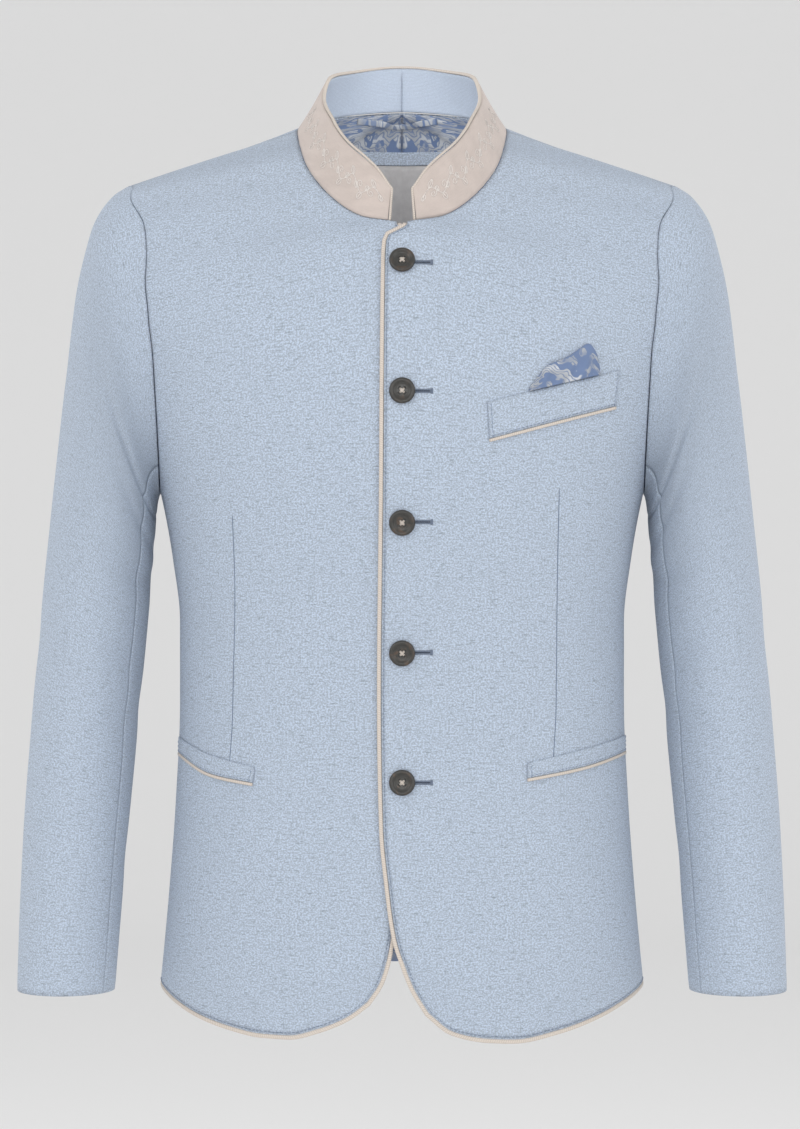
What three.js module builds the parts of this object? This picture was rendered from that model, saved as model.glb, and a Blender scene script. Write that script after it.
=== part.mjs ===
// A stand-collar trachten jacket, filled out as if worn, in millimetres, +Z up.
// The origin is the middle of the neck base, level with the side neck points.
// The front faces -Y and the wearer's left is +X.
import * as THREE from 'three';

// Cloth walls and the gaps between pieces
const CLOTH = 1.8;
const COLLAR = 1.5;
const FACING = 1.2;
const LINING = 0.8;
const SEAM = 0.3;
const LIFT = 0.45;
const PIPING = 3.2;
const COLLAR_PIPING = 2.0;
const OVERLAP = CLOTH + 1.4;

// Levels of the body loft: it runs up the front, over the shoulder seam and down the back
const UNDERARM = -290;
const SHOULDER_SEAM = 40;
const BACK_NECK = 98;
const BACK_NECK_HEIGHT = 24;
const PIT = -84;
const COLLAR_START = -72.6;
const SKIRT = -560;
const LINING_LOW = -84;
const SIDE_Y = 4;
const backLevel = (v) => SHOULDER_SEAM + BACK_NECK - v;

// The neck opening at the collar's base
const NECK = { half: 84, front: 98, back: 75, drop: 84, rise: BACK_NECK_HEIGHT, ease: 1.15 };
const ARMHOLE = { y: SIDE_Y, z: -167, half: 72, tall: 123 };

// Level sections of the body below the armholes
const SECTIONS = [
  { z: -730, half: 198.5, front: 128, back: 124 },
  { z: -660, half: 191, front: 125, back: 122 },
  { z: -600, half: 185.6, front: 121, back: 120 },
  { z: -536, half: 181, front: 117, back: 115 },
  { z: -456, half: 177.6, front: 115, back: 109 },
  { z: -392, half: 177.6, front: 120, back: 110 },
  { z: -344, half: 183, front: 126, back: 116 },
  { z: UNDERARM, half: 193, front: 132, back: 124 },
];
const FULL_ACROSS = 0.62;
const FULL_DEEP = 0.6;

// Rows above the armholes, from the centre line or the neck edge to the shoulder's side.
// neck is the angle round the neck in degrees, turn is the heading at the side and inset is
// how far the chest is drawn in beside the neck.
const FRONT_ROWS = [
  { v: -245, depth: 133, z: -245, side: 205, sideZ: -250, turn: 90, out: 127, back: 81 },
  { v: -200, depth: 131, z: -200, side: 217, sideZ: -216, turn: 90, out: 134, back: 78 },
  { v: -155, depth: 124, z: -155, side: 229, sideZ: -186, turn: 88, out: 140, back: 76 },
  { v: -115, depth: 111, z: -115, side: 242, sideZ: -161, turn: 84, out: 141, back: 79 },
  { v: PIT, neck: 0, inset: 4, side: 252, sideZ: -140, turn: 78, out: 136, back: 87 },
  { v: -56, neck: 22, inset: 15, side: 257, sideZ: -115, turn: 68, out: 124, back: 82 },
  { v: -24, neck: 45, inset: 11, side: 262, sideZ: -91, turn: 50, out: 124, back: 82 },
  { v: 8, neck: 68, inset: 2, side: 268, sideZ: -70, turn: 28, out: 160, back: 74 },
  { v: SHOULDER_SEAM, neck: 90, side: 219, sideZ: -44, turn: 0, out: 47, back: 47 },
];
const BACK_ROWS = [
  { v: 75, neck: 65, side: 270, sideZ: -71, turn: 26, out: 123, back: 106 },
  { v: 50, neck: 35, side: 262, sideZ: -91, turn: 46, out: 119, back: 96 },
  { v: BACK_NECK_HEIGHT, neck: 0, side: 259, sideZ: -115, turn: 64, out: 123, back: 105 },
  { v: -30, depth: 104, z: -30, side: 248, sideZ: -143, turn: 76, out: 135, back: 92 },
  { v: -90, depth: 122, z: -90, side: 236, sideZ: -174, turn: 84, out: 142, back: 81 },
  { v: -160, depth: 131, z: -160, side: 222, sideZ: -208, turn: 90, out: 138, back: 77 },
  { v: -230, depth: 130, z: -230, side: 207, sideZ: -251, turn: 90, out: 128, back: 76 },
];
const SHOULDER_SLOPE = 0.33;

// Front edges, as the distance past the centre line towards the other side is negative x
const LEFT_EDGE = [
  { z: -691.6, x: 17.6 },
  { z: -672.5, x: 6.1 },
  { z: -653.4, x: -1.5 },
  { z: -634.3, x: -7.6 },
  { z: -591.5, x: -13.7 },
  { z: -550, x: -17.6 },
  { z: -451, x: -19.2 },
  { z: -298, x: -17.7 },
  { z: -110, x: -16 },
  { z: -98, x: -15.4 },
  { z: -90.7, x: -12.7 },
  { z: -85.5, x: -6 },
  { z: PIT, x: 0 },
];
const RIGHT_EDGE = [
  { z: -684, x: 24.5 },
  { z: -669, x: 14.5 },
  { z: -650, x: 8.4 },
  { z: -638, x: 6.1 },
  { z: -600, x: -1.5 },
  { z: -560, x: -9.5 },
  { z: -514, x: -16 },
  { z: -298, x: -17.7 },
  { z: -110, x: -16 },
  { z: -98, x: -15.4 },
  { z: -90.7, x: -12.7 },
  { z: -85.5, x: -6 },
  { z: PIT, x: 0 },
];
const LEFT_HEM = [
  { x: 17.6, z: -691.6 },
  { x: 36.7, z: -706.8 },
  { x: 63.5, z: -713.2 },
  { x: 86.5, z: -714.5 },
  { x: 121, z: -708.7 },
  { x: 153, z: -699.5 },
  { x: 175, z: -690.7 },
  { x: 194, z: -682 },
];
const RIGHT_HEM = [
  { x: 24.5, z: -684 },
  { x: 39.7, z: -695.6 },
  { x: 62.7, z: -705.7 },
  { x: 86, z: -711.5 },
  { x: 107, z: -711 },
  { x: 133, z: -706.6 },
  { x: 157, z: -700 },
  { x: 177, z: -691.5 },
  { x: 194, z: -682 },
];
const BACK_HEM = { side: -682, centre: -678 };

// Levels at which the panels' rows of points lie
const FRONT_SKIRT_ROWS = 5;
const FRONT_LEVELS = [
  -525, -490, -456, -424, -392, -364, -338, -313, UNDERARM, -286, -277, -262, -243,
  -220, -192, -163, -135, -112, -97, -89, PIT, COLLAR_START, -56, -38, -18, 2, 22,
  SHOULDER_SEAM,
];
const BACK_LEVELS = [
  BACK_NECK, 80, 62, 44, BACK_NECK_HEIGHT, -5, -20, -38, -58, LINING_LOW, -112, -148, -185, -225,
  -252, -272, -285, UNDERARM,
  -320, -356, -392, -430, -470, -515, -560, -605, -645,
];
const FRONT_COLUMNS = 14;
const BACK_COLUMNS = 11;

// Sleeve rings: the points over and under the arm, half the depth and the middle's y
const SLEEVE_RINGS = [
  { over: 219, overZ: -44, under: 193, underZ: -290, depth: 72, y: 4 },
  { over: 230, overZ: -51, under: 194.5, underZ: -293, depth: 73.5, y: 4 },
  { over: 239, overZ: -61.5, under: 195.3, underZ: -296.5, depth: 75, y: 4 },
  { over: 246.5, overZ: -76, under: 196, underZ: -301, depth: 76.5, y: 4 },
  { over: 252.5, overZ: -96, under: 196.6, underZ: -307, depth: 77.5, y: 4 },
  { over: 260, overZ: -130, under: 197.3, underZ: -316, depth: 78, y: 4 },
  { over: 266.3, overZ: -180, under: 198.2, underZ: -330, depth: 77.5, y: 5 },
  { over: 273.3, overZ: -240, under: 200, underZ: -352, depth: 75.5, y: 6 },
  { over: 281, overZ: -310, under: 203.2, underZ: -388, depth: 71, y: 7 },
  { over: 288.5, overZ: -385, under: 207.5, underZ: -436, depth: 65, y: 6 },
  { over: 295.5, overZ: -470, under: 213, underZ: -497, depth: 59.5, y: 1 },
  { over: 300.8, overZ: -555, under: 218.8, underZ: -566, depth: 54, y: -10 },
  { over: 303.2, overZ: -630, under: 223.6, underZ: -633, depth: 50, y: -21 },
  { over: 304, overZ: -683, under: 227, underZ: -683, depth: 48, y: -30 },
];
const SLEEVE_STATIONS = [0, 0.6, 1.4, 2.4, 3.6, 5, 6.2, 7.4, 8.4, 9.4, 10.5, 11.7, 13];
const SLEEVE_FRONT_SEAM = 35;
const SLEEVE_HIND_SEAM = -85;
const ARMHOLE_EASE = 3;

// The stand collar's rim: its plan, and its height by the angle round the neck from the front
const COLLAR_TOP = { half: 62.7, front: 88, back: 72 };
const COLLAR_RIM = [
  { angle: 9, z: -51 },
  { angle: 16, z: -40 },
  { angle: 27, z: -28.5 },
  { angle: 41, z: -16.4 },
  { angle: 54, z: -2.9 },
  { angle: 62, z: 6.5 },
  { angle: 78, z: 19.8 },
  { angle: 90, z: 29 },
  { angle: 111, z: 47.7 },
  { angle: 132, z: 54.2 },
  { angle: 180, z: 61.6 },
];
const COLLAR_ROWS = 3;

// Buttons
const BUTTON = { radius: 10, thick: 3.6, dish: 6.8, depth: 1.4, sides: 20 };
const BUTTON_ROW = { top: -115, step: -99.8, count: 5 };

// Pockets, each by the front-view corners of its welt: inner end first
const CHEST_WELT = {
  top: [{ x: 65.1, z: -222.9 }, { x: 168.2, z: -196.6 }],
  bottom: [{ x: 66.8, z: -253.5 }, { x: 165.1, z: -226.7 }],
};
const LEFT_HIP_WELT = {
  top: [{ x: 96.5, z: -500.3 }, { x: 142.8, z: -490.5 }, { x: 176.6, z: -482.5 }],
  bottom: [{ x: 96.5, z: -514.5 }, { x: 142.8, z: -506.5 }, { x: 176.6, z: -497.5 }],
};
const RIGHT_HIP_WELT = {
  top: [{ x: 113.6, z: -504 }, { x: 150, z: -495.5 }, { x: 176.6, z: -484 }],
  bottom: [{ x: 115.5, z: -518.5 }, { x: 150, z: -512.5 }, { x: 176.6, z: -498.5 }],
};
const WELT = { wall: 1.2, piping: 2.4, columns: 13 };

// The soft puff of cloth above the breast pocket: its upper outline and how far it stands out
const PUFF = [
  { x: 97, top: -212, out: 1.5 },
  { x: 104, top: -203, out: 3 },
  { x: 112, top: -194, out: 4.5 },
  { x: 120, top: -190.5, out: 5 },
  { x: 128, top: -186.5, out: 6 },
  { x: 136, top: -181, out: 6 },
  { x: 143, top: -177, out: 5 },
  { x: 149, top: -184, out: 3.5 },
  { x: 152, top: -196, out: 1.5 },
];
const PUFF_ROWS = 4;

// What shows of the inside, behind the neck opening
const BAND = { half: 46, top: -5, bottom: -15.5, lift: 1.9 };
const PATCH = { half: 40, top: -16, bottom: -72, lift: 1.2 };
const LOOP = { from: -37, to: 29, top: 19.5, wide: 5.5, drop: 1.2, slack: 2.2, wall: 0.8, steps: 8 };
const LINING_COLUMNS = 3;
const INSIDE_COLUMNS = 12;

const MATERIALS = {
  cloth: { color: 0xb6c4d4, roughness: 0.95, metalness: 0 },
  collar: { color: 0xcfc4be, roughness: 0.95, metalness: 0 },
  facing: { color: 0xb6c0cf, roughness: 0.95, metalness: 0 },
  piping: { color: 0xcdc2b8, roughness: 0.9, metalness: 0 },
  lining: { color: 0x7183a6, roughness: 0.6, metalness: 0 },
  band: { color: 0x9ea8b7, roughness: 0.9, metalness: 0 },
  patch: { color: 0xaeadaf, roughness: 0.9, metalness: 0 },
  horn: { color: 0x32302f, roughness: 0.4, metalness: 0 },
};

const point = (x, y, z) => new THREE.Vector3(x, y, z);
const radians = THREE.MathUtils.degToRad;
const mix = THREE.MathUtils.lerp;
const mirrored = (p) => point(-p.x, p.y, p.z);

// A smooth curve through a table's values, without overshoot
function curveThrough(keys, values) {
  const steps = keys.slice(1).map((key, i) => key - keys[i]);
  const slopes = steps.map((step, i) => (values[i + 1] - values[i]) / step);
  const tangents = keys.map((_, i) => {
    if (i === 0) return slopes[0];
    if (i === keys.length - 1) return slopes[i - 1];
    if (slopes[i - 1] * slopes[i] <= 0) return 0;
    const before = 2 * steps[i] + steps[i - 1];
    const after = steps[i] + 2 * steps[i - 1];
    return (before + after) / (before / slopes[i - 1] + after / slopes[i]);
  });
  return (key) => {
    let i = 0;
    while (i < steps.length - 1 && key > keys[i + 1]) i += 1;
    const t = (key - keys[i]) / steps[i];
    const rise = values[i + 1] - values[i];
    const bend = tangents[i] * steps[i] - rise;
    const lift = rise - tangents[i + 1] * steps[i];
    return values[i] + t * rise + t * (1 - t) * ((1 - t) * bend + t * lift);
  };
}

const column = (table, key, value) =>
  curveThrough(table.map((row) => row[key]), table.map((row) => row[value]));

// The value at which a rising function reaches a target
function solve(rising, target, low, high) {
  for (let i = 0; i < 40; i += 1) {
    const middle = (low + high) / 2;
    if (rising(middle) < target) low = middle;
    else high = middle;
  }
  return (low + high) / 2;
}

// The neck edge, by the angle round from the front: 0 is the front, 180 the back
function neckPoint(angle) {
  const across = Math.sin(radians(angle));
  const along = Math.cos(radians(angle));
  const size = Math.abs(along) ** NECK.ease;
  return along > 0
    ? point(NECK.half * across, -NECK.front * along, -NECK.drop * size)
    : point(NECK.half * across, -NECK.back * along, NECK.rise * size);
}

// Each row of the body loft is one Bezier curve, given by four points
function sectionRow(section, side) {
  const depth = side * (side < 0 ? section.front : section.back);
  const { half, z } = section;
  return [
    point(0, depth, z),
    point(half * FULL_ACROSS, depth, z),
    point(half, mix(SIDE_Y, depth, FULL_DEEP), z),
    point(half, SIDE_Y, z),
  ];
}

function upperRow(row, side) {
  const start = row.neck === undefined
    ? point(0, side * row.depth, row.z)
    : neckPoint(side < 0 ? row.neck : 180 - row.neck);
  const end = point(row.side, SIDE_Y, row.sideZ);
  const slope = (end.z - start.z) / (end.x - start.x);
  const turn = radians(row.turn);
  const { inset = 0 } = row;
  const heading = point(Math.cos(turn), -side * Math.sin(turn), -SHOULDER_SLOPE * Math.cos(turn));
  return [
    start,
    start.clone().add(point(row.out, -side * inset, slope * row.out)),
    end.clone().addScaledVector(heading.normalize(), -row.back),
    end,
  ];
}

const BODY = [
  ...SECTIONS.map((row) => ({ v: row.z, points: sectionRow(row, -1) })),
  ...FRONT_ROWS.map((row) => ({ v: row.v, points: upperRow(row, -1) })),
  ...BACK_ROWS.map((row) => ({ v: backLevel(row.v), points: upperRow(row, 1) })),
  ...SECTIONS.toReversed().map((row) => ({ v: backLevel(row.z), points: sectionRow(row, 1) })),
];
const TRACKS = [0, 1, 2, 3].map((i) => ['x', 'y', 'z'].map((axis) =>
  curveThrough(BODY.map((row) => row.v), BODY.map((row) => row.points[i][axis]))));

// A point of the body's outside. s runs from the centre line, 0, to the side, 1; less than 0
// is past the centre line.
function bodyPoint(s, v) {
  if (s < 0) return mirrored(bodyPoint(-s, v));
  const weights = [(1 - s) ** 3, 3 * s * (1 - s) ** 2, 3 * s * s * (1 - s), s ** 3];
  const place = [0, 1, 2].map((axis) =>
    TRACKS.reduce((sum, track, i) => sum + weights[i] * track[axis](v), 0));
  return point(...place);
}

function bodyNormal(s, v) {
  const ds = 0.002;
  const dv = 0.5;
  const across = bodyPoint(s + ds, v).sub(bodyPoint(s - ds, v));
  const along = bodyPoint(s, v + dv).sub(bodyPoint(s, v - dv));
  return across.cross(along).normalize();
}

const widthAt = (x, v) => (x < 0 ? -widthAt(-x, v) : solve((s) => bodyPoint(s, v).x, x, 0, 1));

// Where the row at v meets the armhole, an ellipse seen from the side
function armholeAt(v) {
  const outside = (s) => {
    const p = bodyPoint(s, v);
    const wide = (p.y - ARMHOLE.y) / ARMHOLE.half;
    const tall = (p.z - ARMHOLE.z) / ARMHOLE.tall;
    return -(wide * wide + tall * tall);
  };
  return solve(outside, -1, 0, 1);
}

// The front's (s, v) below a front-view place
function frontPlace(x, z) {
  const v = solve((level) => bodyPoint(widthAt(x, level), level).z, z, z - 5, z + 60);
  return { s: widthAt(x, v), v };
}

// The back's (s, v) at a front-view place below its neck edge
function backPlace(x, z) {
  const place = (rise) => ({ s: widthAt(x, backLevel(rise)), v: backLevel(rise) });
  const pointAt = (rise) => bodyPoint(place(rise).s, place(rise).v);
  const startX = (rise) => bodyPoint(0, backLevel(rise)).x;
  const highest = solve(startX, Math.abs(x), BACK_NECK_HEIGHT, BACK_NECK);
  return place(solve((rise) => pointAt(rise).z, z, z - 5, highest));
}

// How far the left front is moved out, to lie on the right one
function overlapAt(x) {
  return OVERLAP * (1 - THREE.MathUtils.smoothstep(x, 20, 48));
}

// A closed solid from its points and triangles, turned so that its faces point out
function solidFrom(name, corners, triangles, material) {
  const volume = triangles.reduce((sum, [a, b, c]) =>
    sum + corners[a].dot(corners[b].clone().cross(corners[c])), 0);
  const faces = volume < 0 ? triangles.map((face) => face.toReversed()) : triangles;
  const geometry = new THREE.BufferGeometry();
  const places = corners.flatMap((p) => p.toArray());
  geometry.setAttribute('position', new THREE.Float32BufferAttribute(places, 3));
  geometry.setIndex(faces.flat());
  geometry.computeVertexNormals();
  const mesh = new THREE.Mesh(geometry, new THREE.MeshStandardMaterial(MATERIALS[material]));
  mesh.name = name;
  return mesh;
}

// The two triangles of a four-cornered face, cut along its shorter diagonal
function twoTriangles([a, b, c, d], corners) {
  return corners[a].distanceTo(corners[c]) <= corners[b].distanceTo(corners[d])
    ? [[a, b, c], [a, c, d]]
    : [[a, b, d], [b, c, d]];
}

// A wall between a grid of outer points and the grid of inner points behind it
function wallFrom(name, outer, inner, material) {
  const rows = outer.length;
  const columns = outer[0].length;
  const behind = rows * columns;
  const corners = [...outer.flat(), ...inner.flat()];
  const index = (j, i) => j * columns + i;
  const triangles = [];
  for (let j = 0; j < rows - 1; j += 1) {
    for (let i = 0; i < columns - 1; i += 1) {
      const face = [index(j, i), index(j, i + 1), index(j + 1, i + 1), index(j + 1, i)];
      const back = face.map((k) => k + behind);
      triangles.push(...twoTriangles(face, corners));
      triangles.push(...twoTriangles(back, corners).map((t) => t.toReversed()));
    }
  }
  const rim = [];
  for (let i = 0; i < columns; i += 1) rim.push(index(0, i));
  for (let j = 1; j < rows; j += 1) rim.push(index(j, columns - 1));
  for (let i = columns - 2; i >= 0; i -= 1) rim.push(index(rows - 1, i));
  for (let j = rows - 2; j > 0; j -= 1) rim.push(index(j, 0));
  rim.forEach((a, k) => {
    const b = rim[(k + 1) % rim.length];
    triangles.push([a, behind + a, b], [b, behind + a, behind + b]);
  });
  return solidFrom(name, corners, triangles, material);
}

// A bar of four-cornered section through a list of stations
function barFrom(name, stations, material) {
  const last = (stations.length - 1) * 4;
  const triangles = [[0, 1, 2], [0, 2, 3], [last, last + 2, last + 1], [last, last + 3, last + 2]];
  for (let k = 0; k < last; k += 4) {
    for (let side = 0; side < 4; side += 1) {
      const a = k + side;
      const b = k + ((side + 1) % 4);
      triangles.push([a, a + 4, b], [b, a + 4, b + 4]);
    }
  }
  return solidFrom(name, stations.flat(), triangles, material);
}

const moved = (p, direction, by) => p.clone().addScaledVector(direction, by);

// The grid's points moved out along their normals, or in by less than 0
const movedOut = (grid, normals, by) =>
  grid.map((row, j) => row.map((p, i) => moved(p, normals[j][i], by)));

// Moves each edge of a grid inwards; right may differ from row to row
function trimmed(grid, { left = 0, right = () => 0, low = 0, high = 0 }) {
  const rows = grid.length - 1;
  const columns = grid[0].length - 1;
  return grid.map((row, j) => row.map((p, i) => {
    const towards = (q, by) => q.clone().sub(p).normalize().multiplyScalar(by);
    const place = p.clone();
    if (i === 0) place.add(towards(row[1], left));
    if (i === columns) place.add(towards(row[columns - 1], right(j)));
    if (j === 0) place.add(towards(grid[1][i], low));
    if (j === rows) place.add(towards(grid[rows - 1][i], high));
    return place;
  }));
}

// An edging along cells of a grid's rim: the grid drawn back from it, and the bar's stations
function edging(grid, normals, cells, { wide, wall, gap }) {
  const path = cells.map(([j, i]) => grid[j][i]);
  const facing = cells.map(([j, i]) => normals[j][i]);
  const within = (index, count) => THREE.MathUtils.clamp(index, 1, count - 2);
  const inside = cells.map(([j, i]) => grid[within(j, grid.length)][within(i, grid[0].length)]);
  const square = path.slice(1).map((p, k) => {
    const side = p.clone().sub(path[k]).cross(facing[k]).normalize();
    return side.dot(inside[k + 1].clone().sub(p)) < 0 ? side.negate() : side;
  });
  const inward = path.map((_, k) => {
    const before = square[Math.max(k - 1, 0)];
    const after = square[Math.min(k, square.length - 1)];
    return before.clone().add(after).divideScalar(1 + before.dot(after));
  });
  const drawn = grid.map((row) => row.map((p) => p.clone()));
  cells.forEach(([j, i], k) => {
    drawn[j][i] = moved(path[k], inward[k], wide + gap);
  });
  const stations = path.map((p, k) => {
    const near = moved(p, inward[k], wide);
    return [p.clone(), near, moved(near, facing[k], -wall), moved(p, facing[k], -wall)];
  });
  return { drawn, stations };
}

const evenly = (count) => Array.from({ length: count + 1 }, (_, i) => i / count);
const onSide = (side) => (p) => (side < 0 ? mirrored(p) : p);

// Outward directions of a panel. Along the armhole they point away from its middle, seen from
// the side, so that the body's wall and the sleeve's wall meet face to face.
const fromArmhole = (p) => point(0, p.y - ARMHOLE.y, p.z - ARMHOLE.z).normalize();

function panelNormals(places, side) {
  return places.map((row) => row.map(({ s, v }, i) => {
    const aboveArm = v > UNDERARM && v < backLevel(UNDERARM);
    const onArmhole = aboveArm && i === row.length - 1;
    return onSide(side)(onArmhole ? fromArmhole(bodyPoint(s, v)) : bodyNormal(s, v));
  }));
}

// The (s, v) of each point of a front: skirt rows bend to follow the hem, the rest are level
function frontPlaces(edge, hem) {
  const edgeX = column(edge, 'z', 'x');
  const hemZ = column(hem, 'x', 'z');
  const corner = hem[0];
  const cornerS = widthAt(corner.x, corner.z);
  const across = evenly(FRONT_COLUMNS);
  const skirt = evenly(FRONT_SKIRT_ROWS).slice(0, -1).map((rise) => {
    const edgeZ = mix(corner.z, SKIRT, rise);
    const edgeS = widthAt(edgeX(edgeZ), edgeZ);
    return across.map((t) => {
      const hemX = bodyPoint(mix(cornerS, 1, t), corner.z).x;
      return { s: mix(edgeS, 1, t), v: mix(hemZ(Math.max(hemX, corner.x)), SKIRT, rise) };
    });
  });
  const level = [SKIRT, ...FRONT_LEVELS].map((v) => {
    const edgeS = v < PIT ? widthAt(edgeX(v), v) : 0;
    const sideS = v > UNDERARM ? armholeAt(v) : 1;
    return across.map((t) => ({ s: mix(edgeS, sideS, t), v }));
  });
  return [...skirt, ...level];
}

// A front and the piping that runs from the collar's end, down its edge and along its hem
function front(name, side, edge, hem) {
  const places = frontPlaces(edge, hem);
  const normals = panelNormals(places, side);
  const raise = side > 0 ? overlapAt : () => 0;
  const grid = places.map((row, j) => row.map(({ s, v }, i) => {
    const level = normals[j][i].clone().setZ(0).normalize();
    const p = bodyPoint(s, v);
    return moved(onSide(side)(p), level, raise(p.x));
  }));
  const belowArm = (j) => places[j][0].v <= UNDERARM;
  const cut = trimmed(grid, { right: (j) => (belowArm(j) ? SEAM / 2 : 0), high: SEAM / 2 });
  const pitRow = places.findIndex((row) => row[0].v === PIT);
  const cells = [];
  for (let j = pitRow + 1; j > 0; j -= 1) cells.push([j, 0]);
  for (let i = 0; i <= FRONT_COLUMNS; i += 1) cells.push([0, i]);
  const trim = { wide: PIPING, wall: CLOTH, gap: SEAM };
  const { drawn, stations } = edging(cut, normals, cells, trim);
  return [
    wallFrom(name, drawn, movedOut(drawn, normals, -CLOTH), 'cloth'),
    barFrom(`${name}_piping`, stations, 'piping'),
  ];
}

function backPlaces() {
  const across = evenly(BACK_COLUMNS);
  const level = BACK_LEVELS.map(backLevel).map((v) => {
    const sideS = v < backLevel(UNDERARM) ? armholeAt(v) : 1;
    return across.map((t) => ({ s: sideS * t, v }));
  });
  const hemLevel = (t) => backLevel(mix(BACK_HEM.centre, BACK_HEM.side, t * t));
  return [...level, across.map((t) => ({ s: t, v: hemLevel(t) }))];
}

function back(name, side) {
  const places = backPlaces();
  const normals = panelNormals(places, side);
  const grid = places.map((row) => row.map(({ s, v }) => onSide(side)(bodyPoint(s, v))));
  const belowArm = (j) => places[j][0].v >= backLevel(UNDERARM);
  const right = (j) => (belowArm(j) ? SEAM / 2 : 0);
  const cut = trimmed(grid, { left: SEAM / 2, right, low: SEAM / 2 });
  return wallFrom(name, cut, movedOut(cut, normals, -CLOTH), 'cloth');
}

// The lining of the upper back lies on the back's own rows and columns
function backLining(name, side) {
  const lowest = BACK_LEVELS.indexOf(LINING_LOW);
  const places = backPlaces().slice(1, lowest + 1).map((row) => row.slice(0, LINING_COLUMNS + 1));
  const normals = places.map((row) => row.map(({ s, v }) => onSide(side)(bodyNormal(s, v))));
  const grid = places.map((row) => row.map(({ s, v }) => onSide(side)(bodyPoint(s, v))));
  const cut = trimmed(grid, { left: SEAM / 2 });
  const face = (by) => movedOut(cut, normals, -CLOTH - SEAM - by);
  return wallFrom(name, face(0), face(LINING), 'lining');
}

// The armhole's points, where the body's rows end: up the front and down the back
function armholeLoop() {
  const frontLevels = FRONT_LEVELS.filter((v) => v >= UNDERARM);
  const backLevels = BACK_LEVELS.filter((v) => v > UNDERARM && v < BACK_NECK).map(backLevel);
  return [...frontLevels, ...backLevels].map((v) => bodyPoint(v > UNDERARM ? armholeAt(v) : 1, v));
}

// The angle round the sleeve in degrees: 0 under the arm, 180 over it, less than 0 behind
const armAngle = (p) => THREE.MathUtils.radToDeg(
  Math.atan2((ARMHOLE.y - p.y) / ARMHOLE.half, (ARMHOLE.z - p.z) / ARMHOLE.tall));

const RINGS = Object.fromEntries(Object.keys(SLEEVE_RINGS[0]).map((key) =>
  [key, curveThrough(SLEEVE_RINGS.map((_, u) => u), SLEEVE_RINGS.map((row) => row[key]))]));

function ringPoint(u, angle) {
  const lean = (1 + Math.cos(radians(angle))) / 2;
  return point(
    mix(RINGS.over(u), RINGS.under(u), lean),
    RINGS.y(u) - RINGS.depth(u) * Math.sin(radians(angle)),
    mix(RINGS.overZ(u), RINGS.underZ(u), lean),
  );
}

// A point of the sleeve's outside, which starts at the armhole's own point
function sleevePoint(u, angle, seam) {
  const ease = Math.max(0, 1 - u / ARMHOLE_EASE) ** 2;
  const fit = seam.clone().sub(ringPoint(0, angle));
  return ringPoint(u, angle).addScaledVector(fit, ease);
}

function sleeveNormal(u, angle, seam) {
  const du = 0.02;
  const turn = 0.5;
  if (u === 0) return fromArmhole(seam);
  const last = SLEEVE_RINGS.length - 1;
  const along = sleevePoint(Math.min(u + du, last), angle, seam).sub(sleevePoint(u - du, angle, seam));
  const round = sleevePoint(u, angle + turn, seam).sub(sleevePoint(u, angle - turn, seam));
  return round.cross(along).normalize();
}

// One of a sleeve's two pieces, from the armhole's points that it is sewn to
function sleevePiece(name, side, seams) {
  const angles = seams.map(armAngle);
  const place = onSide(side);
  const grid = SLEEVE_STATIONS.map((u) =>
    seams.map((seam, i) => place(sleevePoint(u, angles[i], seam).add(point(SEAM, 0, 0)))));
  const normals = SLEEVE_STATIONS.map((u) =>
    seams.map((seam, i) => place(sleeveNormal(u, angles[i], seam))));
  const cut = trimmed(grid, { left: SEAM / 2, right: () => SEAM / 2 });
  return wallFrom(name, cut, movedOut(cut, normals, -CLOTH), 'cloth');
}

function sleeve(name, side) {
  const loop = armholeLoop();
  const angles = loop.map(armAngle);
  const shoulder = angles.indexOf(Math.max(...angles));
  const nearest = (target, from, to) => angles.slice(from, to)
    .reduce((best, angle, k) => (Math.abs(angle - target) < Math.abs(angles[best] - target)
      ? from + k : best), from);
  const foreSeam = nearest(SLEEVE_FRONT_SEAM, 0, shoulder);
  const hindSeam = nearest(SLEEVE_HIND_SEAM, shoulder + 1, loop.length);
  return [
    sleevePiece(`${name}_top`, side, loop.slice(foreSeam, hindSeam + 1)),
    sleevePiece(`${name}_under`, side, [...loop.slice(hindSeam), ...loop.slice(0, foreSeam + 1)]),
  ];
}

// The collar's columns start where the body's rows do, all round from the left end
const NECK_LEVELS = [
  ...FRONT_LEVELS.filter((v) => v > PIT),
  ...BACK_LEVELS.filter((v) => v >= BACK_NECK_HEIGHT && v < BACK_NECK).map(backLevel),
];
const rimHeight = column(COLLAR_RIM, 'angle', 'z');

// A point of the collar's outside, from its base, 0, to its rim, 1
function collarPoint(v, rise) {
  const base = bodyPoint(0, v);
  const isFront = base.y < 0;
  const along = -base.y / (isFront ? NECK.front : NECK.back);
  const across = base.x / NECK.half;
  const angle = THREE.MathUtils.radToDeg(Math.atan2(across, along));
  const depth = isFront ? COLLAR_TOP.front : COLLAR_TOP.back;
  const rim = point(
    COLLAR_TOP.half * Math.sin(radians(angle)),
    -depth * Math.cos(radians(angle)),
    rimHeight(angle),
  );
  return base.lerp(rim, rise);
}

function collarNormal(v, rise) {
  const behindNeck = v >= NECK_LEVELS.at(-1);
  if (behindNeck) return point(0, 1, 0);
  const step = 1;
  const round = collarPoint(v + step, rise).sub(collarPoint(v - step, rise));
  const up = collarPoint(v, 1).sub(collarPoint(v, 0));
  return round.cross(up).normalize();
}

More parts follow.
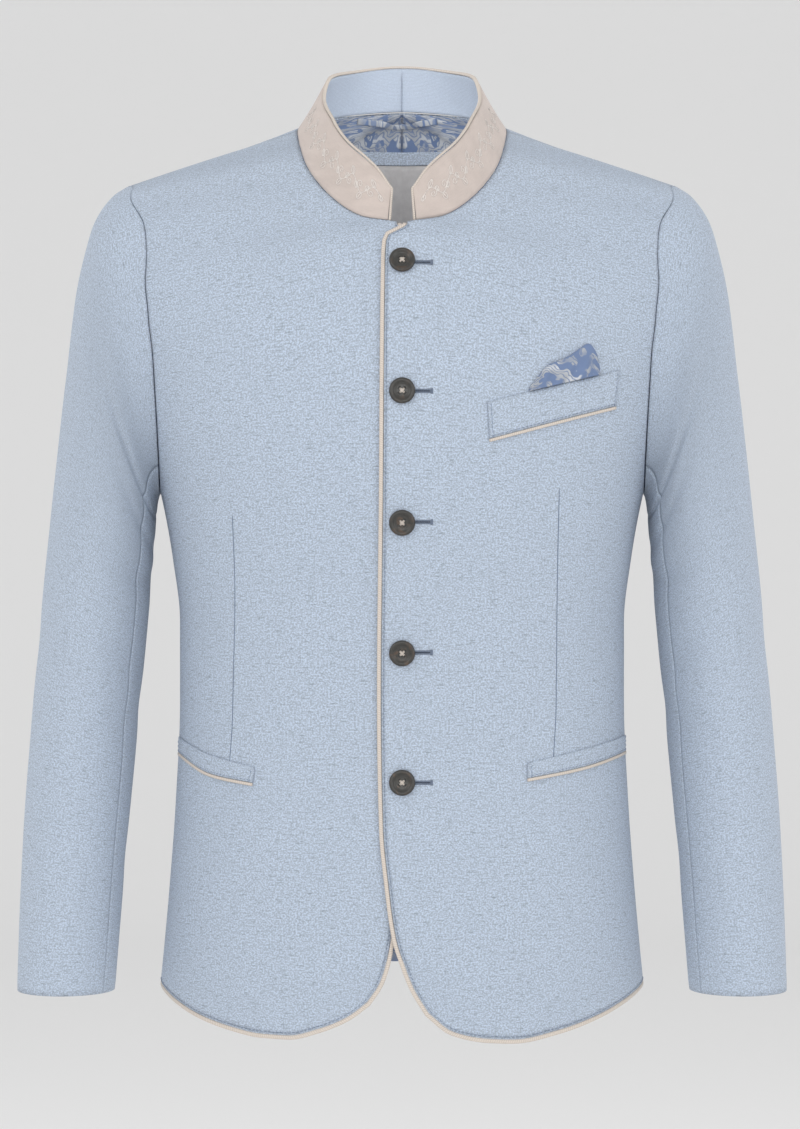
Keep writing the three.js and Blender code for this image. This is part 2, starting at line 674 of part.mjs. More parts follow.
function collar() {
  const rises = evenly(COLLAR_ROWS - 1);
  const halfRow = (placed) => {
    const left = NECK_LEVELS.map(placed);
    return [...left, ...left.slice(0, -1).toReversed().map(mirrored)];
  };
  const grid = rises.map((rise) => halfRow((v) => collarPoint(v, rise)));
  const normals = rises.map((rise) => halfRow((v) => collarNormal(v, rise)));
  const based = trimmed(grid, { low: SEAM });
  const last = grid[0].length - 1;
  const cells = rises.map((_, j) => [j, 0]);
  for (let i = 1; i < last; i += 1) cells.push([COLLAR_ROWS - 1, i]);
  rises.forEach((_, j) => cells.push([COLLAR_ROWS - 1 - j, last]));
  const wall = COLLAR + SEAM + FACING;
  const trim = { wide: COLLAR_PIPING, wall, gap: LIFT };
  const { drawn, stations } = edging(based, normals, cells, trim);
  const behind = (by) => movedOut(drawn, normals, -by);
  return [
    wallFrom('collar_outer', drawn, behind(COLLAR), 'collar'),
    wallFrom('collar_inner', behind(COLLAR + SEAM), behind(wall), 'facing'),
    barFrom('collar_piping', stations, 'piping'),
  ];
}

// A flat piece laid on a surface: places are (s, v), and it fills from lift to lift + wall out
function laid(name, side, places, lift, wall, material) {
  const at = ({ s, v }, by) => onSide(side)(moved(bodyPoint(s, v), bodyNormal(s, v), by));
  const outer = places.map((row) => row.map((place) => at(place, lift + wall)));
  const inner = places.map((row) => row.map((place) => at(place, lift)));
  return wallFrom(name, outer, inner, material);
}

// A place on a front-view line, spaced evenly round the body and not across the view
function along(line, t) {
  const [start, end] = [line[0], line.at(-1)].map(({ x, z }) => frontPlace(x, z));
  const { x } = bodyPoint(mix(start.s, end.s, t), mix(start.v, end.v, t));
  return { x, z: column(line, 'x', 'z')(x) };
}

// A pocket's welt with the piping along its lower edge
function welt(name, pipingName, side, { top, bottom }) {
  const across = evenly(WELT.columns);
  const strip = (low, high) => [low, high].map((edge) => across.map((t) => {
    const { x, z } = edge(t);
    return frontPlace(x, z);
  }));
  const upper = (t) => along(top, t);
  const lower = (by) => (t) => {
    const { x, z } = along(bottom, t);
    return { x, z: z + by };
  };
  return [
    laid(name, side, strip(lower(WELT.piping + SEAM), upper), LIFT, WELT.wall, 'cloth'),
    laid(pipingName, side, strip(lower(0), lower(WELT.piping)), LIFT, WELT.wall, 'piping'),
  ];
}

// The puff stands on the breast pocket's upper edge and lies back on the front
function pocketPuff() {
  const rises = evenly(PUFF_ROWS);
  const foot = (x) => column(CHEST_WELT.top, 'x', 'z')(x) + SEAM;
  const places = rises.map((rise) =>
    PUFF.map(({ x, top }) => frontPlace(x, mix(foot(x), top, rise))));
  const swell = (rise) => Math.sin(Math.PI * mix(0.3, 0.9, rise));
  const grid = (by) => places.map((row, j) => row.map(({ s, v }, i) =>
    moved(bodyPoint(s, v), bodyNormal(s, v), LIFT + by * (WELT.wall + PUFF[i].out * swell(rises[j])))));
  return wallFrom('pocket_puff', grid(1), grid(0), 'lining');
}

// Buttons: a thick rim round a dished face
function buttons() {
  const { radius, thick, dish, depth } = BUTTON;
  const profile = [
    [0, 0], [radius * 0.8, 0], [radius, thick * 0.3], [radius, thick * 0.65],
    [radius * 0.88, thick], [dish, thick * 0.95], [dish * 0.9, thick - depth], [0, thick - depth],
  ].map(([r, h]) => new THREE.Vector2(r, h));
  return Array.from({ length: BUTTON_ROW.count }, (_, k) => {
    const { s, v } = frontPlace(0, BUTTON_ROW.top + k * BUTTON_ROW.step);
    const normal = bodyNormal(s, v);
    const mesh = new THREE.Mesh(
      new THREE.LatheGeometry(profile, BUTTON.sides),
      new THREE.MeshStandardMaterial(MATERIALS.horn),
    );
    mesh.name = `button_${k + 1}`;
    mesh.position.copy(moved(bodyPoint(s, v), normal, OVERLAP + LIFT));
    mesh.quaternion.setFromUnitVectors(point(0, 1, 0), normal);
    return mesh;
  });
}

// A flat piece on the lining, level across the back
const ON_LINING = CLOTH + SEAM + LINING;

function onLining(name, { half, top, bottom, lift }, rows, material) {
  const across = evenly(INSIDE_COLUMNS).map((t) => mix(-half, half, t));
  const places = evenly(rows).map((rise) => across.map((x) => backPlace(x, mix(bottom, top, rise))));
  return laid(name, 1, places, -ON_LINING - lift - LINING, LINING, material);
}

// A tape sewn down at both ends, standing a little off the lining between them
function hangerLoop() {
  const stations = evenly(LOOP.steps).map((t) => {
    const bow = Math.sin(Math.PI * t);
    const x = mix(LOOP.from, LOOP.to, t);
    const high = LOOP.top - LOOP.drop * bow;
    const corner = (z, by) => {
      const { s, v } = backPlace(x, z);
      const inwards = ON_LINING + LIFT + LOOP.slack * bow + by;
      return moved(bodyPoint(s, v), bodyNormal(s, v), -inwards);
    };
    const low = high - LOOP.wide;
    return [corner(high, 0), corner(high, LOOP.wall), corner(low, LOOP.wall), corner(low, 0)];
  });
  return barFrom('hanger_loop', stations, 'lining');
}

const jacket = new THREE.Group();
jacket.add(
  ...front('front_left', 1, LEFT_EDGE, LEFT_HEM),
  ...front('front_right', -1, RIGHT_EDGE, RIGHT_HEM),
  back('back_left', 1),
  back('back_right', -1),
  ...sleeve('sleeve_left', 1),
  ...sleeve('sleeve_right', -1),
  ...collar(),
  ...welt('chest_welt', 'chest_piping', 1, CHEST_WELT),
  ...welt('hip_welt_left', 'hip_piping_left', 1, LEFT_HIP_WELT),
  ...welt('hip_welt_right', 'hip_piping_right', -1, RIGHT_HIP_WELT),
  pocketPuff(),
  ...buttons(),
  backLining('back_lining_left', 1),
  backLining('back_lining_right', -1),
  onLining('neck_band', BAND, 1, 'band'),
  onLining('neck_patch', PATCH, 4, 'patch'),
  hangerLoop(),
);
export default jacket;
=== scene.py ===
import math

import bmesh
import bpy
import numpy as np
from bpy.props import FloatProperty, FloatVectorProperty, IntProperty, PointerProperty
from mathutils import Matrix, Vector


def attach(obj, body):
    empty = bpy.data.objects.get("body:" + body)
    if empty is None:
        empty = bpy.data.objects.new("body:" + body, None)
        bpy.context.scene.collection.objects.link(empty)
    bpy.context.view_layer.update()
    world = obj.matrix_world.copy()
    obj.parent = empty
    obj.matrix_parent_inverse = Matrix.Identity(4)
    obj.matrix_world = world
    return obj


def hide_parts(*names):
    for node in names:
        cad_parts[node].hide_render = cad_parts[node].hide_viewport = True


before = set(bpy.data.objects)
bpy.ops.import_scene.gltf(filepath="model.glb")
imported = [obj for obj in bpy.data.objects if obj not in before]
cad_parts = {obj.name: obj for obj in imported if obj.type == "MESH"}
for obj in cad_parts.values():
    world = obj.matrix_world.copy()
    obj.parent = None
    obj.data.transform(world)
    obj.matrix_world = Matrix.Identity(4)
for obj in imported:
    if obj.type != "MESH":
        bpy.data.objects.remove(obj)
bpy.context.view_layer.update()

bl_info = {
    "name": "Trachten jacket",
    "version": (1, 0, 0),
    "blender": (4, 5, 0),
    "location": "View3D > Sidebar > Jacket",
    "description": "Builds a stand-collar trachten jacket on its frame",
    "category": "Add Mesh",
}

# Lengths are in millimetres, as in the pattern, and meshes are made in metres
MM = 0.001
CLOTH = 1.8
COLLAR = 1.5
FACING = 1.2
LINING = 0.8
SEAM = 0.3
LIFT = 0.45
PIPING = 3.2
COLLAR_PIPING = 2.0
OVERLAP = CLOTH + 1.4

# Levels of the body: up the front, over the shoulder seam and down the back
UNDERARM = -290
SHOULDER_SEAM = 40
BACK_NECK = 98
BACK_NECK_HEIGHT = 24
PIT = -84
COLLAR_START = -72.6
SKIRT = -560
LINING_LOW = -84
SIDE_Y = 4
NECK_HALF, NECK_FRONT, NECK_BACK, NECK_DROP, NECK_EASE = 84, 98, 75, 84, 1.15
ARMHOLE_Z, ARMHOLE_HALF, ARMHOLE_TALL = -167, 72, 123
FULL_ACROSS, FULL_DEEP, SHOULDER_SLOPE = 0.62, 0.6, 0.33

# z, half width, front depth, back depth of each level section
SECTIONS = [
    (-730, 198.5, 128, 124),
    (-660, 191, 125, 122),
    (-600, 185.6, 121, 120),
    (-536, 181, 117, 115),
    (-456, 177.6, 115, 109),
    (-392, 177.6, 120, 110),
    (-344, 183, 126, 116),
    (UNDERARM, 193, 132, 124),
]
# v, depth at the centre or None, neck angle or None, side x, side z, turn, out, inset, back
FRONT_ROWS = [
    (-245, 133, None, 205, -250, 90, 127, 0, 81),
    (-200, 131, None, 217, -216, 90, 134, 0, 78),
    (-155, 124, None, 229, -186, 88, 140, 0, 76),
    (-115, 111, None, 242, -161, 84, 141, 0, 79),
    (PIT, None, 0, 252, -140, 78, 136, 4, 87),
    (-56, None, 22, 257, -115, 68, 124, 15, 82),
    (-24, None, 45, 262, -91, 50, 124, 11, 82),
    (8, None, 68, 268, -70, 28, 160, 2, 74),
    (SHOULDER_SEAM, None, 90, 219, -44, 0, 47, 0, 47),
]
BACK_ROWS = [
    (75, None, 65, 270, -71, 26, 123, 0, 106),
    (50, None, 35, 262, -91, 46, 119, 0, 96),
    (BACK_NECK_HEIGHT, None, 0, 259, -115, 64, 123, 0, 105),
    (-30, 104, None, 248, -143, 76, 135, 0, 92),
    (-90, 122, None, 236, -174, 84, 142, 0, 81),
    (-160, 131, None, 222, -208, 90, 138, 0, 77),
    (-230, 130, None, 207, -251, 90, 128, 0, 76),
]

# Front edges as (z, x), from the bottom to the neck, and hems as (x, z)
LEFT_EDGE = [
    (-691.6, 17.6), (-672.5, 6.1), (-653.4, -1.5), (-634.3, -7.6), (-591.5, -13.7), (-550, -17.6),
    (-451, -19.2), (-298, -17.7), (-110, -16), (-98, -15.4), (-90.7, -12.7), (-85.5, -6), (PIT, 0),
]
RIGHT_EDGE = [
    (-684, 24.5), (-669, 14.5), (-650, 8.4), (-638, 6.1), (-600, -1.5), (-560, -9.5),
    (-514, -16), (-298, -17.7), (-110, -16), (-98, -15.4), (-90.7, -12.7), (-85.5, -6), (PIT, 0),
]
LEFT_HEM = [
    (17.6, -691.6), (36.7, -706.8), (63.5, -713.2), (86.5, -714.5),
    (121, -708.7), (153, -699.5), (175, -690.7), (194, -682),
]
RIGHT_HEM = [
    (24.5, -684), (39.7, -695.6), (62.7, -705.7), (86, -711.5), (107, -711),
    (133, -706.6), (157, -700), (177, -691.5), (194, -682),
]
BACK_HEM_SIDE, BACK_HEM_CENTRE = -682, -678

# Sleeve rings: over x, over z, under x, under z, half depth, middle y
SLEEVE_RINGS = [
    (219, -44, 193, -290, 72, 4),
    (230, -51, 194.5, -293, 73.5, 4),
    (239, -61.5, 195.3, -296.5, 75, 4),
    (246.5, -76, 196, -301, 76.5, 4),
    (252.5, -96, 196.6, -307, 77.5, 4),
    (260, -130, 197.3, -316, 78, 4),
    (266.3, -180, 198.2, -330, 77.5, 5),
    (273.3, -240, 200, -352, 75.5, 6),
    (281, -310, 203.2, -388, 71, 7),
    (288.5, -385, 207.5, -436, 65, 6),
    (295.5, -470, 213, -497, 59.5, 1),
    (300.8, -555, 218.8, -566, 54, -10),
    (303.2, -630, 223.6, -633, 50, -21),
    (304, -683, 227, -683, 48, -30),
]
SLEEVE_FRONT_SEAM, SLEEVE_HIND_SEAM, ARMHOLE_EASE = 35, -85, 3
# Soft folds of the sleeve: ring, angle, how wide round the arm, slant, depth
SLEEVE_FOLDS = [
    (4.6, 0.9, 1.1, 0.35, 2.2), (6.1, 0.55, 0.8, -0.3, 1.5), (7.5, 0.7, 0.9, 0.45, 2.0),
    (8.7, 1.2, 1.0, -0.35, 1.6), (9.6, 0.4, 1.2, 0.3, 1.4), (10.9, -0.8, 1.0, 0.4, 1.2),
    (5.5, -1.3, 1.0, 0.4, 2.0), (8.0, -1.6, 1.1, -0.4, 2.4), (9.1, 2.4, 0.9, 0.3, 1.3),
]
FOLD_TALL = 0.26

# The collar's rim: its plan, and its height by the angle round the neck from the front
RIM_HALF, RIM_FRONT, RIM_BACK = 62.7, 88, 72
COLLAR_TALL, SCROLL_TALL = 42, 34
COLLAR_RIM = [
    (9, -51), (16, -40), (27, -28.5), (41, -16.4), (54, -2.9), (62, 6.5),
    (78, 19.8), (90, 29), (111, 47.7), (132, 54.2), (180, 61.6),
]

BUTTON_TOP, BUTTON_STEP, BUTTON_COUNT, BUTTON_RADIUS = -115, -99.8, 5, 10
HOLE_PLACE, HOLE_RADIUS, BUTTON_THREAD = 1.75, 0.95, 0.42
SLIT_START, SLIT_END, SILK_STEP = 3, 21.5, 0.72

# Pockets by the front-view (x, z) of the welt's edges, inner end first
CHEST_WELT = ([(65.1, -222.9), (168.2, -196.6)], [(66.8, -253.5), (165.1, -226.7)])
LEFT_HIP_WELT = (
    [(96.5, -500.3), (142.8, -490.5), (176.6, -482.5)],
    [(96.5, -514.5), (142.8, -506.5), (176.6, -497.5)],
)
RIGHT_HIP_WELT = (
    [(113.6, -504), (150, -495.5), (176.6, -484)],
    [(115.5, -518.5), (150, -512.5), (176.6, -498.5)],
)
WELT_WALL, WELT_PIPING = 1.2, 2.4
# x, top z and how far the puff stands out
PUFF = [
    (97, -212, 1.5), (104, -203, 3), (112, -194, 4.5), (120, -190.5, 5), (128, -186.5, 6),
    (136, -181, 6), (143, -177, 5), (149, -184, 3.5), (152, -196, 1.5),
]
# Darts as front-view lines, top first, on the wearer's right and left
DARTS = {
    -1: [(-131, -309), (-129.5, -366), (-131, -433), (-132, -471), (-134, -500)],
    1: [(121, -288), (120, -350), (119.3, -456), (117, -500)],
}

# The inside: the lining's upper level and how much of the back's width shows through the neck
LINING_TOP, LINING_SHARE = 80, 3 / 11
ON_LINING = CLOTH + SEAM + LINING

# Sewing: the topstitching's distance from the piping, and how high it stands
EDGE_STITCH, STITCH_LIFT = 1.9, 0.1
# How far the cloth's turn below the collar is drawn out, and how far up and down that reaches
CHEST_SPREAD, CHEST_REACH = 15, 34
# Grid columns of a front and a back, and the rows below the skirt's level
FRONT_COLUMNS, BACK_COLUMNS, HEM_ROWS = 64, 56, 26

PALE_HORN = (0.10, 0.062, 0.040)
CREAM_THREAD = (0.62, 0.56, 0.50)
SLIT_SHADOW = (0.055, 0.07, 0.10)


# Curves through tables


def curve_through(keys, values):
    """A smooth curve through a table's values, without overshoot."""
    keys = np.asarray(keys, float)
    values = np.asarray(values, float)
    steps = np.diff(keys)
    slopes = np.diff(values) / steps
    tangents = np.concatenate([slopes[:1], np.zeros(len(slopes) - 1), slopes[-1:]])
    for i in range(1, len(slopes)):
        if slopes[i - 1] * slopes[i] > 0:
            before = 2 * steps[i] + steps[i - 1]
            after = steps[i] + 2 * steps[i - 1]
            tangents[i] = (before + after) / (before / slopes[i - 1] + after / slopes[i])

    def at(key):
        key = np.asarray(key, float)
        i = np.clip(np.searchsorted(keys, key) - 1, 0, len(steps) - 1)
        t = (key - keys[i]) / steps[i]
        rise = values[i + 1] - values[i]
        bend = tangents[i] * steps[i] - rise
        lift = rise - tangents[i + 1] * steps[i]
        return values[i] + t * rise + t * (1 - t) * ((1 - t) * bend + t * lift)

    return at


def curve_of(table):
    """A smooth curve through a table of (key, value) rows."""
    return curve_through(*zip(*table))


def solve(rising, target, low, high, rounds=17):
    """The values at which a rising function reaches its targets."""
    low = np.zeros(np.shape(target)) + low
    high = np.zeros(np.shape(target)) + high
    for _ in range(rounds):
        middle = (low + high) / 2
        below = rising(middle) < target
        low = np.where(below, middle, low)
        high = np.where(below, high, middle)
    return (low + high) / 2


def mix(a, b, t):
    return a + (b - a) * t


def smooth_step(t):
    t = np.clip(t, 0, 1)
    return t * t * (3 - 2 * t)


def unit(vectors):
    return vectors / np.linalg.norm(vectors, axis=-1, keepdims=True)


# The body's surface


def back_level(v):
    return SHOULDER_SEAM + BACK_NECK - v


def neck_point(angle):
    across = math.sin(math.radians(angle))
    forward = math.cos(math.radians(angle))
    size = abs(forward) ** NECK_EASE
    if forward > 0:
        return np.array([NECK_HALF * across, -NECK_FRONT * forward, -NECK_DROP * size])
    return np.array([NECK_HALF * across, -NECK_BACK * forward, BACK_NECK_HEIGHT * size])


def section_row(section, side):
    z, half, front, back = section
    depth = side * (front if side < 0 else back)
    return [
        np.array([0, depth, z]),
        np.array([half * FULL_ACROSS, depth, z]),
        np.array([half, mix(SIDE_Y, depth, FULL_DEEP), z]),
        np.array([half, SIDE_Y, z]),
    ]


def upper_row(row, side):
    v, depth, neck, side_x, side_z, turn, out, inset, back = row
    if neck is None:
        start = np.array([0, side * depth, v])
    else:
        start = neck_point(neck if side < 0 else 180 - neck)
    end = np.array([side_x, SIDE_Y, side_z])
    slope = (end[2] - start[2]) / (end[0] - start[0])
    turn = math.radians(turn)
    fall = -SHOULDER_SLOPE * math.cos(turn)
    heading = unit(np.array([math.cos(turn), -side * math.sin(turn), fall]))
    beside = start + np.array([out, -side * inset, slope * out])
    return [start, beside, end - heading * back, end]


def body_tracks():
    rows = [(row[0], section_row(row, -1)) for row in SECTIONS]
    rows += [(row[0], upper_row(row, -1)) for row in FRONT_ROWS]
    rows += [(back_level(row[0]), upper_row(row, 1)) for row in BACK_ROWS]
    rows += [(back_level(row[0]), section_row(row, 1)) for row in reversed(SECTIONS)]
    levels = [v for v, _ in rows]
    return [
        [curve_through(levels, [points[i][axis] for _, points in rows]) for axis in range(3)]
        for i in range(4)
    ]


TRACKS = body_tracks()


def body(s, v):
    """The outside of the body: s from the centre line to the side, less than 0 past the centre."""
    s, v = np.broadcast_arrays(np.asarray(s, float), np.asarray(v, float))
    past = np.where(s < 0, -1.0, 1.0)
    s = np.abs(s)
    weights = [(1 - s) ** 3, 3 * s * (1 - s) ** 2, 3 * s * s * (1 - s), s**3]
    place = [sum(w * track[axis](v) for w, track in zip(weights, TRACKS)) for axis in range(3)]
    place[0] = place[0] * past
    return np.stack(place, axis=-1)


def body_normal(s, v):
    across = body(s + 0.002, v) - body(s - 0.002, v)
    up = body(s, v + 0.5) - body(s, v - 0.5)
    return unit(np.cross(across, up))


def width_at(x, v):
    """The s at which the row at v is x from the middle."""

    def reach(s):
        return body(s, v)[..., 0]

    s = solve(reach, np.abs(x), 0, 1)
    return np.where(np.asarray(x) < 0, -s, s)


def armhole_at(v):
    """Where the row at v meets the armhole, an ellipse seen from the side."""

    def outside(s):
        p = body(s, v)
        wide = (p[..., 1] - SIDE_Y) / ARMHOLE_HALF
        tall = (p[..., 2] - ARMHOLE_Z) / ARMHOLE_TALL
        return -(wide * wide + tall * tall)

    return solve(outside, np.full(np.shape(v), -1.0), 0, 1)


def front_place(x, z):
    """The front's (s, v) below a front-view place."""
    x, z = np.broadcast_arrays(np.asarray(x, float), np.asarray(z, float))

    def height(level):
        return body(width_at(x, level), level)[..., 2]

    v = solve(height, z, z - 5, z + 60)
    return width_at(x, v), v


def back_place(x, z):
    """The back's (s, v) at a front-view place below its neck edge."""
    x, z = np.broadcast_arrays(np.asarray(x, float), np.asarray(z, float))

    def neck_reach(rise):
        return body(np.zeros(np.shape(rise)), back_level(rise))[..., 0]

    def height(rise):
        return body(width_at(x, back_level(rise)), back_level(rise))[..., 2]

    highest = solve(neck_reach, np.abs(x), BACK_NECK_HEIGHT, BACK_NECK)
    v = back_level(solve(height, z, z - 5, highest))
    return width_at(x, v), v


def mirrored(points, side):
    """The points on the wearer's left, or with side -1 on the right."""
    return points * np.array([side, 1, 1])


def on_body(s, v, side):
    """Points of the body's outside, with their normals."""
    return mirrored(body(s, v), side), mirrored(body_normal(s, v), side)


def lapped(points, normals, side):
    """The left front's points raised beside its edge, where it lies over the right front."""
    if side < 0:
        return points
    level = unit(normals * np.array([1, 1, 0]))
    rise = OVERLAP * (1 - smooth_step((points[..., 0] - 20) / 28))
    return points + level * rise[..., None]


def subdivided(levels, spacing):
    """The levels with even steps between them, no longer than spacing."""
    result = [levels[0]]
    for low, high in zip(levels, levels[1:]):
        count = max(1, math.ceil(abs(high - low) / spacing))
        result += [mix(low, high, (k + 1) / count) for k in range(count)]
    return np.array(result, float)


def underarm_levels(top):
    """Levels from the underarm up, close together where the armhole's edge runs level."""
    t = np.linspace(0, 1, 26)
    return UNDERARM + (top - UNDERARM) * t**1.6


FRONT_LEVELS = np.concatenate([
    subdivided([SKIRT, -456, UNDERARM], 7)[:-1],
    underarm_levels(-192)[:-1],
    subdivided([-192, PIT], 6)[:-1],
    subdivided([PIT, COLLAR_START, -56, SHOULDER_SEAM], 4),
])
BACK_LEVELS = np.concatenate([
    subdivided([SHOULDER_SEAM, back_level(BACK_NECK_HEIGHT)], 5)[:-1],
    subdivided([back_level(BACK_NECK_HEIGHT), back_level(-192)], 7)[:-1],
    back_level(underarm_levels(-192))[::-1][:-1],
    subdivided([back_level(UNDERARM), back_level(-645)], 8),
])


# Meshes


def material(name, build):
    """The material of that name, made once."""
    found = bpy.data.materials.get(name)
    if found:
        return found
    made = bpy.data.materials.new(name)
    made.use_nodes = True
    build(made.node_tree, made.node_tree.nodes["Principled BSDF"])
    return made


def add_object(name, verts, faces, materials, uvs, indices=None):
    """A piece from points and flat places in millimetres, riding on the frame's root."""
    mesh = bpy.data.meshes.new(name)
    mesh.from_pydata((np.asarray(verts, float) * MM).tolist(), [], faces)
    for item in materials:
        mesh.materials.append(item)
    if indices is not None:
        mesh.polygons.foreach_set("material_index", indices)
    layer = mesh.uv_layers.new(name="cloth")
    corners = np.empty(len(mesh.loops), np.int32)
    mesh.loops.foreach_get("vertex_index", corners)
    layer.data.foreach_set("uv", (np.asarray(uvs)[corners] * MM).astype(np.float32).ravel())
    builder = bmesh.new()
    builder.from_mesh(mesh)
    bmesh.ops.recalc_face_normals(builder, faces=builder.faces)
    builder.to_mesh(mesh)
    builder.free()
    mesh.shade_smooth()
    piece = bpy.data.objects.new(name, mesh)
    bpy.context.scene.collection.objects.link(piece)
    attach(piece, "root")
    return piece


def grid_faces(rows, columns):
    index = np.arange(rows * columns).reshape(rows, columns)
    corners = [index[:-1, :-1], index[:-1, 1:], index[1:, 1:], index[1:, :-1]]
    return np.stack([c.ravel() for c in corners], axis=1)


def rim_of(rows, columns):
    """The indices once round a grid's border."""
    index = np.arange(rows * columns).reshape(rows, columns)
    return np.concatenate([index[0], index[1:, -1], index[-1, -2::-1], index[-2:0:-1, 0]])


def unrolled(grid):
    """The flat place of each point of a grid: along its row, and along the middle column."""
    across = np.linalg.norm(np.diff(grid, axis=1), axis=2)
    along = np.linalg.norm(np.diff(grid, axis=0), axis=2)
    middle = along[:, grid.shape[1] // 2]
    u = np.concatenate([np.zeros((len(grid), 1)), np.cumsum(across, axis=1)], axis=1)
    v = np.concatenate([[0], np.cumsum(middle)])
    return np.stack([u, np.broadcast_to(v[:, None], u.shape)], axis=-1)


def unrolled_panel(grid, levels, side):
    """The flat place of a panel's points: round the body from its centre line, and along it."""
    across = np.linalg.norm(np.diff(grid, axis=1), axis=2)
    start = grid[:, :1, 0] * side
    u = np.concatenate([start, start + np.cumsum(across, axis=1)], axis=1)
    reach = np.linspace(levels.min(), levels.max(), 240)
    steps = np.linalg.norm(np.diff(body(0.5, reach), axis=0), axis=1)
    v = np.interp(levels, reach, np.concatenate([[0], np.cumsum(steps)]))
    return np.stack([u, v], axis=-1)


def soft_rim(grid, normals, sink):
    """The grid with its outermost points let down, as a turned edge is."""
    result = grid.copy()
    edge = np.zeros(grid.shape[:2], bool)
    edge[0], edge[-1], edge[:, 0], edge[:, -1] = True, True, True, True
    result[edge] -= normals[edge] * sink
    return result


def wall(name, grid, normals, thick, outside, inside, sink=0.3, flat=None):
    """A cloth wall: its outer face, its inner face in another material, and its rim."""
    rows, columns = grid.shape[:2]
    outer = soft_rim(grid, normals, sink)
    inner = grid - normals * np.broadcast_to(thick, grid.shape[:2])[..., None]
    behind = rows * columns
    rim = rim_of(rows, columns)
    after = np.roll(rim, -1)
    sides = np.stack([rim, rim + behind, after + behind, after], axis=1)
    face = grid_faces(rows, columns)
    faces = np.concatenate([face, face[:, ::-1] + behind, sides])
    indices = np.concatenate([np.zeros(len(face)), np.ones(len(face)), np.zeros(len(sides))])
    verts = np.concatenate([outer.reshape(-1, 3), inner.reshape(-1, 3)])
    flat = (unrolled(grid) if flat is None else flat).reshape(-1, 2)
    uvs = np.concatenate([flat, flat])
    return add_object(name, verts, faces.tolist(), [outside, inside], uvs, indices.astype(np.int32))


def declare_cloth(node):
    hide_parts(node)


def strip(name, path, inward, facing, wide, thick, finish, sides=10):
    """A softly rounded flat strip along a path, from its edge inwards and from its face down."""
    turns = np.linspace(0, 2 * math.pi, sides, endpoint=False)
    across = np.sign(np.cos(turns)) * np.abs(np.cos(turns)) ** 0.6
    deep = np.sign(np.sin(turns)) * np.abs(np.sin(turns)) ** 0.8
    middle = path + inward * wide / 2 - facing * thick / 2
    rings = (
        middle[:, None]
        + inward[:, None] * (across * wide / 2)[None, :, None]
        + facing[:, None] * (deep * thick / 2)[None, :, None]
    )
    return ring_tube(name, [rings], finish)


def ring_tube(name, tubes, finish):
    """Closed tubes through rings of points, joined into one mesh."""
    verts, faces, uvs, start = [], [], [], 0
    for rings in tubes:
        count, sides = rings.shape[:2]
        index = start + np.arange(count * sides).reshape(count, sides)
        after = np.roll(index, -1, axis=1)
        quads = np.stack([index[:-1], after[:-1], after[1:], index[1:]], axis=-1)
        faces += quads.reshape(-1, 4).tolist()
        faces += [index[0].tolist(), index[-1][::-1].tolist()]
        steps = np.linalg.norm(np.diff(rings.mean(axis=1), axis=0), axis=1)
        along = np.concatenate([[0], np.cumsum(steps)])
        around = np.linspace(0, 4, sides)
        uvs.append(np.stack(np.broadcast_arrays(around[None], along[:, None]), -1).reshape(-1, 2))
        verts.append(rings.reshape(-1, 3))
        start += count * sides
    return add_object(name, np.concatenate(verts), faces, [finish], np.concatenate(uvs))


def cord_rings(points, normals, radius, flat=1.0, sides=6, pinch=True):
    """Rings round a line that lies on a surface with these normals."""
    points = np.asarray(points, float)
    along = unit(np.gradient(points, axis=0))
    across = unit(np.cross(along, normals))
    up = unit(np.cross(across, along))
    turns = np.linspace(0, 2 * math.pi, sides, endpoint=False)
    size = np.full(len(points), float(radius))
    if pinch:
        size[[0, -1]] *= 0.45
    return (
        points[:, None]
        + across[:, None] * (size[:, None] * np.cos(turns))[..., None]
        + up[:, None] * (size[:, None] * np.sin(turns) * flat)[..., None]
    )


def resampled(points, normals, spacing):
    """A line and its normals at even steps."""
    steps = np.linalg.norm(np.diff(points, axis=0), axis=1)
    along = np.concatenate([[0], np.cumsum(steps)])
    places = np.linspace(0, along[-1], max(2, int(along[-1] / spacing) + 1))

    def pick(values):
        return np.stack([np.interp(places, along, values[:, k]) for k in range(3)], 1)

    return pick(points), unit(pick(normals))


def stitches(points, normals):
    """A running stitch along a line: one short pinched thread for each stitch."""
    length, gap, radius = stitch_sizes()
    points, normals = resampled(points, normals, (length + gap) / 4)
    points = points + normals * STITCH_LIFT
    tubes = []
    for k in range(0, len(points) - 3, 4):
        piece = points[k:k + 4].copy()
        piece[[0, -1]] -= normals[[k, k + 3]] * radius * 0.8
        tubes.append(cord_rings(piece, normals[k:k + 4], radius, sides=5))
    return tubes


# Finishes


def node(tree, kind, **values):
    """A shader node with the values of its settings or of its inputs."""
    made = tree.nodes.new(kind)
    for name, value in values.items():
        if hasattr(made, name):
            setattr(made, name, value)
        else:
            made.inputs[name.replace("_", " ")].default_value = value
    return made


def scaled_cloth(tree, across, along):
    """The cloth's own flat coordinates, in repeats per metre."""
    flat = node(tree, "ShaderNodeUVMap", uv_map="cloth")
    scale = node(tree, "ShaderNodeMapping")
    scale.inputs["Scale"].default_value = (across, along, 1)
    tree.links.new(flat.outputs[0], scale.inputs[0])
    return scale.outputs[0]


def noise(tree, place, detail, rough=0.6):
    made = node(tree, "ShaderNodeTexNoise", Scale=1.0, Detail=detail, Roughness=rough)
    tree.links.new(place, made.inputs["Vector"])
    return made.outputs["Fac"]


def wave(tree, place, direction, scale, distortion):
    made = node(tree, "ShaderNodeTexWave", bands_direction=direction, wave_profile="SIN")
    made.inputs["Scale"].default_value = scale
    made.inputs["Distortion"].default_value = distortion
    made.inputs["Detail"].default_value = 1.0
    tree.links.new(place, made.inputs["Vector"])
    return made.outputs["Fac"]


